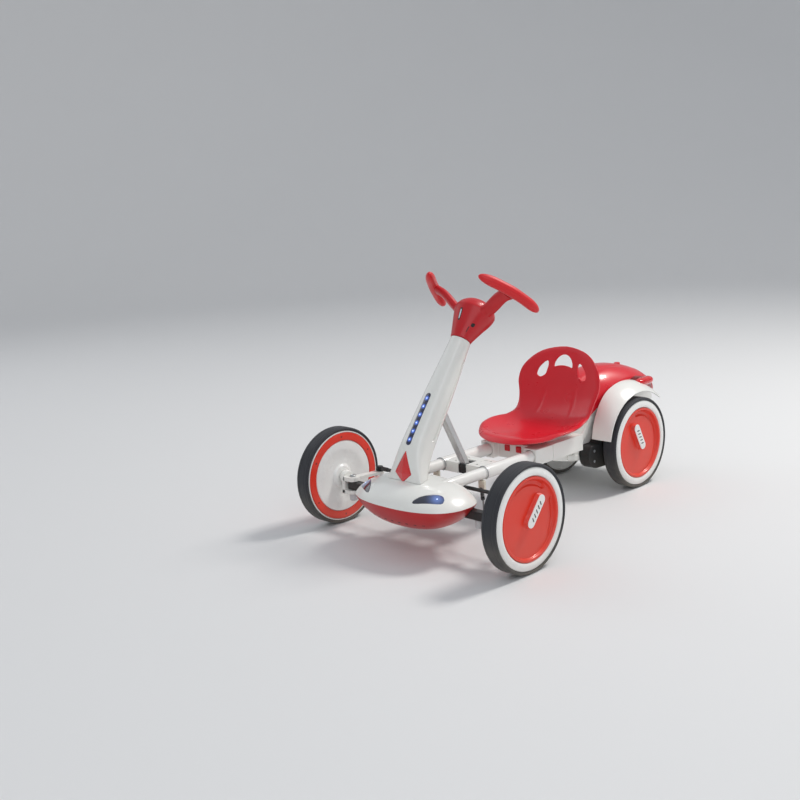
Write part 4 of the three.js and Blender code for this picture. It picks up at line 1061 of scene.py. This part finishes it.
led_rings = [strip_ring(1, -1.2), strip_ring(1, 0.1), strip_ring(0.97, 0.4), strip_ring(0.9, 0.58), strip_ring(0.7, 0.66), strip_ring(0.4, 0.7), strip_ring(0.12, 0.7)]
v, f = loft(led_rings)
LED_M = material("led_strip_navy", srgb("131C46"), 0.06, coat=1.0, vary=0.15, vary_scale=60, grain=200, grain_depth=0.02, rough_vary=0.03, edge=0)
t = LED_M.node_tree
n, link = t.nodes, t.links.new
co = n.new("ShaderNodeTexCoord")


def dot_with(vec):
    d = n.new("ShaderNodeVectorMath")
    d.operation = "DOT_PRODUCT"
    link(co.outputs["Object"], d.inputs[0])
    d.inputs[1].default_value = tuple(vec)
    return d.outputs["Value"]


def mathn(op, a, b=None, c=None):
    m = n.new("ShaderNodeMath")
    m.operation = op
    for i, q in enumerate((a, b, c)):
        if q is None:
            continue
        if isinstance(q, (int, float)):
            m.inputs[i].default_value = q
        else:
            link(q, m.inputs[i])
    return m.outputs[0]


LED_A, LED_B = 146.0, 238.0
pitch = (LED_B - LED_A) / 5 * 0.001
top_m = np.array(mm(TOP))
along = mathn("SUBTRACT", float(top_m.dot(DD)) - LED_A * 0.001, dot_with(DD))
wrapped = mathn("WRAP", along, pitch / 2, -pitch / 2)
across = dot_with((1, 0, 0))
rad = mathn("SQRT", mathn("ADD", mathn("MULTIPLY", wrapped, wrapped), mathn("MULTIPLY", across, across)))
halo = n.new("ShaderNodeMapRange")
halo.interpolation_type = "SMOOTHSTEP"
halo.inputs["From Min"].default_value = 0.0012
halo.inputs["From Max"].default_value = 0.0085
halo.inputs["To Min"].default_value = 1
halo.inputs["To Max"].default_value = 0
link(rad, halo.inputs["Value"])
p = n["Principled BSDF"]
p.inputs["Emission Color"].default_value = (0.12, 0.26, 1.0, 1)
link(mathn("MULTIPLY", mathn("POWER", halo.outputs["Result"], 2.0), 0.9), p.inputs["Emission Strength"])
put("led_strip_skin", v, f, LED_M, ROOT, rep="led_strip_lens", weighted=False, sharp=60)
LAMP_M = emissive("led_glow", srgb("BFD2FF"), 1.2)
g = Mesh()
for k in range(6):
    s = lerp(LED_A, LED_B, k / 5)
    c = front_pt(0, s, 0.62)
    g.add(loft([ring(c - NN * h, -NN, r, n=18) for h, r in ((-0.4, 1.4), (0.1, 1.3), (0.3, 0.9), (0.4, 0.25))]))
put("led_lamps", g.v, g.f, LAMP_M, ROOT, weighted=False)

# raised faceted reflector under it
base = [front_pt(x, s, -1.0) for x, s in KITE]
edge_r = [front_pt(x, s, 1.0) for x, s in KITE]
apex_t, apex_b = front_pt(0, 284, 3.0), front_pt(0, 304, 3.6)
verts = base + edge_r + [apex_t, apex_b]
faces = [(0, 1, 2, 3)] + [(i, (i + 1) % 4, 4 + (i + 1) % 4, 4 + i) for i in range(4)]
faces += [(4, 5, 9, 8), (5, 6, 9), (6, 7, 9), (7, 4, 8, 9)]
put("column_reflector_skin", verts, faces, RED_LENS, ROOT, rep="column_reflector", bevel=0.5, seg=2, angle=12)

# ------------------------------------------------------- head, spokes, grips
YC = on_col(0, -92, -24)
yoke = lambda x, e, h: YC + V(x, 0, 0) + NN * e + DD * h
head_prof = rounded([(0.5, 21.2), (0.5, 22.5), (8, 24.5), (34, 33.5), (58, 42.4), (70, 44.6), (73.5, 43.6), (83, 38.2), (91.5, 27.5), (96.2, 14), (97.2, 4), (97.3, 0.6)],
                    [0, 0.6, 3, 6, 6, 1.6, 1.4, 4, 5, 5, 2, 0], 5, closed=False)
off = Tab([(0.5, 0), (8, 0.5), (34, 3.5), (60, 7), (72, 7.5), (82, 7.5), (92, 7), (97.4, 6)])
g = Mesh()
g.add(loft([ring(on_col(0, -h, off(h)), DD, r, r * 0.97, n=88) for h, r in head_prof]))
for s in (1, -1):
    c = catmull([yoke(s * 14, 25, -38), yoke(s * 46, 18, -18), yoke(s * 76, 4, 2), yoke(s * 96.5, -2, 9.6)], 26)
    rings = []
    for i, q in enumerate(c):
        a, b = c[max(i - 1, 0)], c[min(i + 1, 26)]
        tt = i / 26
        flare = 1 + 0.16 * smooth((tt - 0.72) / 0.28)
        dq = unit(b - a)
        thin = unit(DD - dq * DD.dot(dq))
        wide = np.cross(dq, thin)
        ta, tb = lerp(9.0, 8.2, tt), lerp(15, 14.6, tt) * flare
        rings.append([q + thin * (ta * spow(math.cos(k), 0.8)) + wide * (tb * spow(math.sin(k), 0.8)) for k in [2 * math.pi * j / 44 for j in range(44)]])
    g.add(loft(rings))
# the head's darker red is painted shade, set in its material
head = put("steering_head_skin", g.v, g.f, RED_HEAD_SHADED, "steering_column", rep="steering_head", weighted=False)
m = head.modifiers.new("merge", "REMESH")
m.mode = "VOXEL"
m.voxel_size = 0.0011
m.use_smooth_shade = True
m = head.modifiers.new("soften", "SMOOTH")
m.factor = 0.5
m.iterations = 5


def grip_line(s, t):
    return yoke(s * (108 - 10 * t * t + 32 * t), -2 + 70 * t, 13 - 4 * t * t)


for s, side in ((1, "left"), (-1, "right")):
    N_ = 96
    c = [grip_line(s, 0.975 * (-1 + 2 * i / N_)) for i in range(N_ + 1)]
    rings = []
    for i, q in enumerate(c):
        tt = -1 + 2 * i / N_
        k = math.sqrt(max(0.0004, 1 - abs(tt) ** 5))
        d = c[min(i + 1, N_)] - c[max(i - 1, 0)]
        # faint finger swell and a parting line along each side
        sw = 1 + 0.022 * math.cos(tt * 9)
        rg = ring(q, d, 10.6 * k * sw, 11.4 * k * sw, n=64)
        for j in range(64):
            w = min(j % 32, 32 - j % 32)
            if w == 0:
                rg[j] = q + (rg[j] - q) * (1 - 0.03 * (1 if k > 0.4 else 0))
        rings.append(rg)
    v, f = loft(rings)
    put(f"grip_skin_{side}", v, f, RED_GRIP, "steering_column", rep=f"grip_{side}", weighted=False)

# fittings on the head: black trimmed light slot, key dot, screw recesses


def head_pt(ang, h, proud):
    """On the head's side at angle ang about its axis (0 = rider's left, 90 = rear)."""
    hs = [q[0] for q in head_prof]
    r = np.interp(h, hs, [q[1] for q in head_prof])
    a = math.radians(ang)
    return on_col((r + proud) * math.cos(a), -h, off(h) + (r + proud) * 0.97 * math.sin(a))


def patch(ang, h, wa, hh, depth, lift, k=22, power=3.2):
    """Raised rounded plate that follows the head."""
    rings = []
    for q, pr in ((1, -depth), (1, lift * 0.5), (0.93, lift * 0.9), (0.7, lift), (0.3, lift), (0.05, lift)):
        rg = []
        for i in range(k * 2):
            t = 2 * math.pi * i / (k * 2)
            rg.append(head_pt(ang + wa * q * spow(math.cos(t), 2 / power), h + hh * q * spow(math.sin(t), 2 / power), pr))
        rings.append(rg)
    return loft(rings)


for nm, ang, h, wa, hh, depth, lift, mat, slot in (
        ("slot_trim", -90, 46, 4.6, 13.5, 1.6, 0.5, BLACK, "black_plastic"),
        ("slot_light", -90, 46, 2.4, 10.5, 1.0, 0.75, WHITE_LENS, "white_gloss"),
        ("head_dot", -30, 31, 7.0, 4.0, 1.2, 0.35, BLACK, "black_plastic"),
        ("head_slit", -40, 19, 1.6, 6.5, 1.2, 0.3, BLACK, "black_plastic")):
    v, f = patch(ang, h, wa, hh, depth, lift)
    put(nm, v, f, mat, "steering_column", weighted=False, sharp=50)

# ------------------------------------------------------- strut and brackets
p0, p1 = on_col(0, 150, 31.2), V(0, 136, 126)
d = unit(p1 - p0)
ax = V(1, 0, 0)
bx = unit(np.cross(d, ax))
sec = []
# 15 x 11 bar with a V groove down each wide face
for x, y in ((8.5, 6), (1.8, 6), (0, 4.4), (-1.8, 6), (-8.5, 6), (-8.5, -6), (-1.8, -6), (0, -4.4), (1.8, -6), (8.5, -6)):
    sec.append((x, y))
sec = rounded(sec, [1.6, 0.4, 0.5, 0.4, 1.6, 1.6, 0.4, 0.5, 0.4, 1.6], 4)
v, f = loft([[p0 + d * L + ax * a + bx * b for a, b in sec] for L in np.linspace(0, np.linalg.norm(p1 - p0), 24)])
put("strut_skin", v, f, ALU, ROOT, rep="support_strut", weighted=False, sharp=30)

v, f = box(0, 147, 133, 2 * (RAIL_X - 1), 58, 22)
mb = put("mid_bracket_skin", v, f, WHITE, ROOT, rep="mid_bracket")
for s in (1, -1):
    boolean(mb, rod(V(s * RAIL_X, 100, RAIL_Z), V(s * RAIL_X, 190, RAIL_Z), 14.3, n=64))
boolean(mb, prism(rounded([(-11.5, 117.0), (11.5, 117.0), (11.5, 153), (-11.5, 153)], 3, 4), "z", 110, 160))
for s in (1, -1):
    boolean(mb, rod(V(s * 30, 132, 139), V(s * 30, 132, 150), 3.2, n=24))
    boolean(mb, prism(rounded([(s * 20, 150), (s * 42, 150), (s * 42, 168), (s * 20, 168)], 3, 4), "z", 142.6, 150))
bv = mb.modifiers.new("round", "BEVEL")
bv.width, bv.segments, bv.limit_method, bv.angle_limit = 0.0012, 3, "ANGLE", math.radians(35)
wn = mb.modifiers.new("normals", "WEIGHTED_NORMAL")
# black block that holds the foot of the strut
v, f = prism(rounded([(-10.6, 118), (10.6, 118), (10.6, 152), (-10.6, 152)], 3, 4), "z", 123, 141.5)
blk = put("strut_block", v, f, BLACK, ROOT)
g = Mesh().add(loft([[p0 + d * L + ax * a * 1.06 + bx * b * 1.1 for a, b in sec] for L in (np.linalg.norm(p1 - p0) - 60, np.linalg.norm(p1 - p0) + 10)]))
boolean(blk, (g.v, g.f))
bv = blk.modifiers.new("round", "BEVEL")
bv.width, bv.segments, bv.limit_method, bv.angle_limit = 0.001, 3, "ANGLE", math.radians(35)

# rear bracket: centre block, two split clamps on the rails, framed push buttons
o3 = Mesh()
g = Mesh()
g.add(box(0, 308, 134, 110, 42, 36))
for s in (1, -1):
    g.add(box(s * RAIL_X, 299, 134, 36, 60, 36))
rb = put("rear_bracket_skin", g.v, g.f, WHITE, "rear_unit", rep="rear_bracket", weld=False)
m = rb.modifiers.new("join", "REMESH")
m.mode = "VOXEL"
m.voxel_size = 0.0012
m.use_smooth_shade = True
bpy.context.view_layer.update()
dg = bpy.context.evaluated_depsgraph_get()
me = bpy.data.meshes.new_from_object(rb.evaluated_get(dg))
rb.modifiers.clear()
rb.data = me
for s in (1, -1):
    boolean(rb, rod(V(s * RAIL_X, 240, RAIL_Z), V(s * RAIL_X, 360, RAIL_Z), 14.3, n=64))
    boolean(rb, box(s * 16, 286, 140, 15, 36, 15))
rb.data.materials.clear()
rb.data.materials.append(WHITE)
for q in rb.data.polygons:
    q.use_smooth = True
m = rb.modifiers.new("soften", "SMOOTH")
m.factor, m.iterations = 0.5, 4
for s, side in ((1, "left"), (-1, "right")):
    # collar round each rail and frame round each button
    g = Mesh()
    rr = []
    for y, r in ((270.4, 15.0), (270.4, 17.2), (271.4, 18.2), (275.6, 18.2), (276.4, 17.4), (276.4, 15.0)):
        rr.append(ring(V(s * RAIL_X, y, RAIL_Z), V(0, 1, 0), r, n=64))
    g.add(loft(rr, cap=False, loop=True))
    put(f"clamp_collar_{side}", g.v, g.f, WHITE, "rear_unit", weighted=False, sharp=40)
    outer = rounded([(s * 16 - 8.9, 140 - 8.9), (s * 16 + 8.9, 140 - 8.9), (s * 16 + 8.9, 140 + 8.9), (s * 16 - 8.9, 140 + 8.9)], 2, 5)
    inner = rounded([(s * 16 - 7.3, 140 - 7.3), (s * 16 + 7.3, 140 - 7.3), (s * 16 + 7.3, 140 + 7.3), (s * 16 - 7.3, 140 + 7.3)], 1.6, 5)
    rows = [[V(x, y, z) for x, z in pts] for y, pts in ((288.2, outer), (286.2, outer), (286.2, inner), (288.2, inner))]
    v, f = loft(rows, cap=False, loop=True)
    put(f"button_frame_{side}", v, f, WHITE, "rear_unit", bevel=0.35, seg=2)
    v, f = box(s * 16, 292.5, 140, 13.9, 18, 13.9)
    ob = put(f"release_button_skin_{side}", v, f, RED, f"release_button_{side}", rep=f"release_button_{side}", bevel=2.0, seg=5)
    g = Mesh()
    for k in range(4):
        g.add(box(s * 16, 283.4, 135.2 + 3.2 * k, 9.6, 0.8, 1.1))
    put(f"release_button_ribs_{side}", g.v, g.f, RED, f"release_button_{side}", bevel=0.3)

# ---------------------------------------------------------------------- seat
# profile and half outline against distance along the sheet, from the front lip to the top
SP = [(236, 172), (256, 175), (294, 170.5), (336, 168), (386, 173), (425, 187), (449, 212), (465, 250), (474, 294), (487, 341)]
SL = [0.0]
for a, b in zip(SP, SP[1:]):
    SL.append(SL[-1] + math.hypot(b[0] - a[0], b[1] - a[1]))
SY, SZ = Tab(list(zip(SL, [p[0] for p in SP]))), Tab(list(zip(SL, [p[1] for p in SP])))
HALF = [(0, 0), (35, 3), (60, 13), (80, 29), (96, 48), (108, 69), (115, 91), (118, 114), (115, 137), (108, 161), (104, 190), (104, 227), (109, 252), (114, 272), (113, 290), (107, 308), (96, 323), (78, 339), (50, 352), (0, 360)]
CP = catmull([V(x, l, 0) for x, l in HALF] + [V(-x, l, 0) for x, l in reversed(HALF[1:-1])], 114, closed=True)
OUTLINE = [(float(p[0]), float(p[1])) for p in CP]


def seat_pt(L, x):
    back, a = smooth((L - 165) / 75), abs(x) / 116
    y, z = SY(L), SZ(L)
    z += (1 - back) * 22 * a ** 3 * smooth(L / 80)
    y -= back * 19 * a ** 2.4
    # edge turned down round the pan and back round the top
    e = 1 - clamp(-poly_sd(OUTLINE, x, L) / 12)
    z -= 7.5 * e * e * (1 - back)
    y += 3.2 * e * e * back
    # soft pressed crease each side of the lower back
    if 178 < L < 272:
        q = (abs(x) - lerp(48, 42, (L - 178) / 94)) / 6
        if abs(q) < 1:
            y += 1.3 * smooth((L - 178) / 26) * smooth((272 - L) / 30) * bumpf(q)
    return V(x, y, z)


HC = rounded([(-26, 292), (-14, 296), (0, 297.5), (14, 296), (26, 292), (26, 301), (20, 313), (10, 320), (0, 322), (-10, 320), (-20, 313), (-26, 301)], [3, 8, 8, 8, 3, 4, 6, 6, 6, 6, 6, 4], 4)
HL = rounded([(46, 274), (60, 266), (71, 272), (66, 288), (52, 303), (42, 306), (40, 296)], [4, 5, 5, 6, 5, 3, 4], 4)
HR = [(-x, z) for x, z in HL]
keeps = [lambda p, u, w, h=h: poly_sd(h, p[0], p[2]) if u > 230 else 9.0 for h in (HC, HL, HR)]
keeps.insert(0, lambda p, u, w: -poly_sd(OUTLINE, w, u))
v, f = cut_grid(seat_pt, [-1.5 + 3.0 * i for i in range(123)], [-120 + 3.0 * i for i in range(81)], keeps)
put("seat_skin", v, f, RED, "rear_unit", rep="seat_shell", solid=4.8, bevel=1.5, seg=4, angle=48, out=(0, 560, 60))

# ----------------------------------------------------------------- rear body
TUB = rounded([(329.6, 118), (360, 104), (440, 86), (520, 80), (660, 80), (716, 98), (746, 130), (752, 190), (700, 214), (640, 222), (580, 216), (520, 196), (460, 168), (380, 158), (329.6, 152)],
              [3, 12, 20, 20, 20, 18, 18, 8, 10, 14, 14, 14, 12, 10, 3], 6)
TUB_IN = [(333.6, 121), (362, 108), (442, 90), (520, 84), (656, 84), (712, 101), (741, 132), (747, 250), (333.6, 250)]
v, f = prism(TUB, "x", -57.9, 57.9)
body = put("rear_body_skin", v, f, WHITE, "rear_unit", rep="rear_body")
boolean(body, prism(TUB_IN, "x", -54.4, 54.4))
boolean(body, box(0, 372, 157, 111.8, 60, 8.8), "UNION")
for s in (1, -1):
    boolean(body, box(s * RAIL_X, 383.8, 134, 36, 108.4, 36), "UNION")
for s in (1, -1):
    boolean(body, rod(V(s * RAIL_X, 300, RAIL_Z), V(s * RAIL_X, 424, RAIL_Z), 14.7, n=64))
boolean(body, rod(V(-95, REAR_Y, WHEEL_R), V(95, REAR_Y, WHEEL_R), 6.5, n=32))
bv = body.modifiers.new("round", "BEVEL")
bv.width, bv.segments, bv.limit_method, bv.angle_limit = 0.002, 4, "ANGLE", math.radians(40)
body.modifiers.new("normals", "WEIGHTED_NORMAL").keep_sharp = True
for s, side in ((1, "left"), (-1, "right")):
    # diagonal rib and lower fin moulded on the flank under the seat
    g = Mesh()
    g.add(prism(rounded([(424, 104), (440, 98), (508, 176), (494, 184)], 3, 4), "x", s * 56.6, s * 60.4))
    g.add(prism(rounded([(404, 96.5), (446, 88.5), (446, 100), (404, 108)], 2.4, 4), "x", s * 56.6, s * 61.5))
    put(f"body_rib_{side}", g.v, g.f, WHITE, "rear_unit", bevel=1.0, seg=3)
    pts = rounded([(452, 78), (470, 66), (560, 62), (650, 66), (668, 84), (668, 128), (650, 144), (560, 150), (506, 144), (490, 121), (456, 121), (448, 104)], [8, 10, 16, 12, 12, 14, 14, 16, 12, 6, 6, 8], 6)
    v, f = prism(pts, "x", s * 58.6, s * 87.8)
    du = put(f"drive_unit_skin_{side}", v, f, BLACK, "rear_unit", rep=f"drive_unit_{side}")
    boolean(du, rod(V(s * 50, REAR_Y, WHEEL_R), V(s * 95, REAR_Y, WHEEL_R), 6.6, n=32))
    bv = du.modifiers.new("round", "BEVEL")
    bv.width, bv.segments, bv.limit_method, bv.angle_limit = 0.0022, 4, "ANGLE", math.radians(40)
    du.modifiers.new("normals", "WEIGHTED_NORMAL").keep_sharp = True
    g = Mesh()
    for yy, zz in ((468, 108), (468, 84), (640, 80), (640, 132), (515, 134)):
        g.add(loft([ring(V(s * (87.5 + q), yy, zz), V(s, 0, 0), r, n=20) for q, r in ((-0.4, 3.4), (0.9, 3.4), (1.4, 2.8), (1.5, 1.4), (0.7, 1.2))]))
    put(f"drive_screws_{side}", g.v, g.f, ZINC, "rear_unit", weighted=False, sharp=35)

# ----------------------------------------------------------------------- hood
HT = Tab([(440, 208), (462, 238), (500, 259), (550, 271), (600, 276), (650, 272), (700, 260), (740, 242), (764, 222), (776, 200)])
HW = Tab([(440, 50), (470, 56), (520, 61), (580, 66), (660, 69), (720, 66), (755, 56), (776, 42)])
HS = Tab([(440, 172), (480, 196), (520, 218), (580, 240), (640, 248), (700, 238), (740, 220), (776, 186)])


def hood_pt(u, v):
    y, a = lerp(472, 775.4, u), min(1.0, abs(v))
    z = lerp(HT(y), HS(y), a ** 2.6) - 20 * max(0.0, abs(v) - 1) / 0.2 * smooth((655 - y) / 60)
    # two long soft ridges on the crown
    w = smooth((y - 480) / 60) * smooth((740 - y) / 60)
    z -= 1.1 * w * bumpf((a - 0.42) / 0.12)
    return V(HW(y) * clamp(v, -1, 1), y, z)


keeps = [lambda p, u, w: math.hypot(p[0], p[1] - 690) - 8.0]
v, f = cut_grid(hood_pt, [i / 140 for i in range(141)], [-1.2 + 2.4 * i / 96 for i in range(97)], keeps)
put("rear_hood_skin", v, f, RED, "rear_unit", rep="rear_hood", solid=-2.9, bevel=1.1, seg=3, angle=48, out=(0, 600, 120))
v, f = loft([ring(V(0, 690, z), V(0, 0, 1), r, n=48) for z, r in ((259, 7.4), (268.6, 7.4), (269.8, 6.9), (270.4, 5.6), (270.1, 3.4), (269.8, 0.4))])
put("hood_button_skin", v, f, RED, "hood_button", rep="hood_button", weighted=False)

# -------------------------------------------------------------------- fenders
FR = Tab([(44, 130), (54, 126), (70, 122), (90, 118), (110, 116), (130, 116), (150, 116), (166, 116)])
for s, side in ((1, "left"), (-1, "right")):
    def fender_pt(i, v, s=s):
        a = lerp(168, 44, i)
        r = FR(a) + (1 - (1 - v) ** 2) * lerp(4, 22, smooth((168 - a) / 60))
        return V(s * lerp(121, 71, v), REAR_Y + r * math.cos(math.radians(a)), WHEEL_R + r * math.sin(math.radians(a)))
    v, f = cut_grid(fender_pt, [i / 110 for i in range(111)], [i / 32 for i in range(33)], [])
    put(f"fender_skin_{side}", v, f, WHITE, "rear_unit", rep=f"fender_{side}", solid=2.9, bevel=1.1, seg=3, angle=50, out=(s * 96, REAR_Y, WHEEL_R))
    rows = rounded([(640, 1), (642, 6), (648, 10), (660, 12.4), (684, 12.9), (694, 11.4), (701, 7), (704.6, 0.6)], [0, 3, 4, 5, 4, 3, 3, 0], 5, closed=False)
    v, f = loft([ring(V(s * 88, y, 236), V(0, 1, 0), r, r * 0.8, n=52) for y, r in rows])
    put(f"tail_light_skin_{side}", v, f, RED_LENS, "rear_unit", rep=f"tail_light_{side}", weighted=False)

# ---------------------------------------------------- nodes that keep their mesh
for node, mat in (("battery_pack", BLACK), ("rear_axle", ZINC), ("steering_shaft", ZINC)):
    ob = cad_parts[node] if not isinstance(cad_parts[node], str) else bpy.data.objects[node]
    for sl in ob.material_slots:
        sl.material = mat

# ---------------------------------------------------------- floor, light, camera
FLOOR = bpy.data.materials.new("floor")
FLOOR.use_nodes = True
n, link = FLOOR.node_tree.nodes, FLOOR.node_tree.links.new
p = n["Principled BSDF"]
tx = n.new("ShaderNodeTexNoise")
tx.inputs["Scale"].default_value = 2.0
cr = n.new("ShaderNodeMapRange")
cr.inputs["To Min"].default_value = 0.74
cr.inputs["To Max"].default_value = 0.78
link(tx.outputs["Fac"], cr.inputs["Value"])
cc = n.new("ShaderNodeCombineColor")
for i in range(3):
    link(cr.outputs["Result"], cc.inputs[i])
link(cc.outputs["Color"], p.inputs["Base Color"])
p.inputs["Roughness"].default_value = 0.7
bm = bmesh.new()
prof = [(0.0, 0.0), (4.5, 0.0)] + [(4.5 + 2.0 * math.sin(a), 2.0 - 2.0 * math.cos(a)) for a in [math.pi / 2 * i / 10 for i in range(1, 11)]] + [(6.5, 4.5)]
seg = 96
rows = [[bm.verts.new((r * math.cos(2 * math.pi * k / seg), r * math.sin(2 * math.pi * k / seg), h - 0.0002)) for k in range(seg)] for r, h in prof[1:]]
c0 = bm.verts.new((0, 0, -0.0002))
for k in range(seg):
    bm.faces.new((c0, rows[0][k], rows[0][(k + 1) % seg]))
for a, b in zip(rows, rows[1:]):
    for k in range(seg):
        bm.faces.new((a[k], b[k], b[(k + 1) % seg], a[(k + 1) % seg]))
for q in bm.faces:
    q.smooth = True
me = bpy.data.meshes.new("studio_floor")
bm.to_mesh(me)
bm.free()
me.materials.append(FLOOR)
fl = bpy.data.objects.new("studio_floor", me)
bpy.context.scene.collection.objects.link(fl)


def area(name, loc, target, size, watts, colour=(1, 1, 1)):
    L = bpy.data.lights.new(name, "AREA")
    L.shape, L.size, L.energy, L.color = "DISK", size, watts, colour
    o = bpy.data.objects.new(name, L)
    bpy.context.scene.collection.objects.link(o)
    o.location = loc
    o.rotation_euler = (Vector(target) - Vector(loc)).to_track_quat("-Z", "Y").to_euler()
    return o


area("key", (0.9, 1.9, 3.1), (0, 0, 0.2), 0.9, 78, (1.0, 0.975, 0.94))
area("fill", (2.6, -2.6, 2.4), (0, 0, 0.2), 3.2, 32, (0.94, 0.97, 1.0))
area("side", (-3.0, -0.6, 2.2), (0, 0, 0.2), 2.6, 11, (0.97, 0.98, 1.0))
w = bpy.data.worlds.new("studio")
bpy.context.scene.world = w
w.use_nodes = True
w.node_tree.nodes["Background"].inputs["Color"].default_value = (0.86, 0.9, 0.96, 1)
w.node_tree.nodes["Background"].inputs["Strength"].default_value = 0.54
bpy.context.scene.view_settings.view_transform = "Standard"

az, el, roll = math.radians(45.617), math.radians(11.014), math.radians(-2.924)
d = Vector((-math.sin(az) * math.cos(el), math.cos(az) * math.cos(el), -math.sin(el)))
r = Vector((math.cos(az), math.sin(az), 0))
u = r.cross(d)
r2 = r * math.cos(roll) + u * math.sin(roll)
u2 = -r * math.sin(roll) + u * math.cos(roll)
cam = bpy.data.cameras.new("camera")
cam.lens, cam.sensor_width, cam.shift_y = 49.5, 36.0, -0.0175
cam.clip_start, cam.clip_end = 0.05, 60
co = bpy.data.objects.new("camera", cam)
bpy.context.scene.collection.objects.link(co)
M = Matrix((r2, u2, -d)).transposed().to_4x4()
M.translation = Vector((1.513, -1.8662, 0.752))
co.matrix_world = M
bpy.context.scene.camera = co
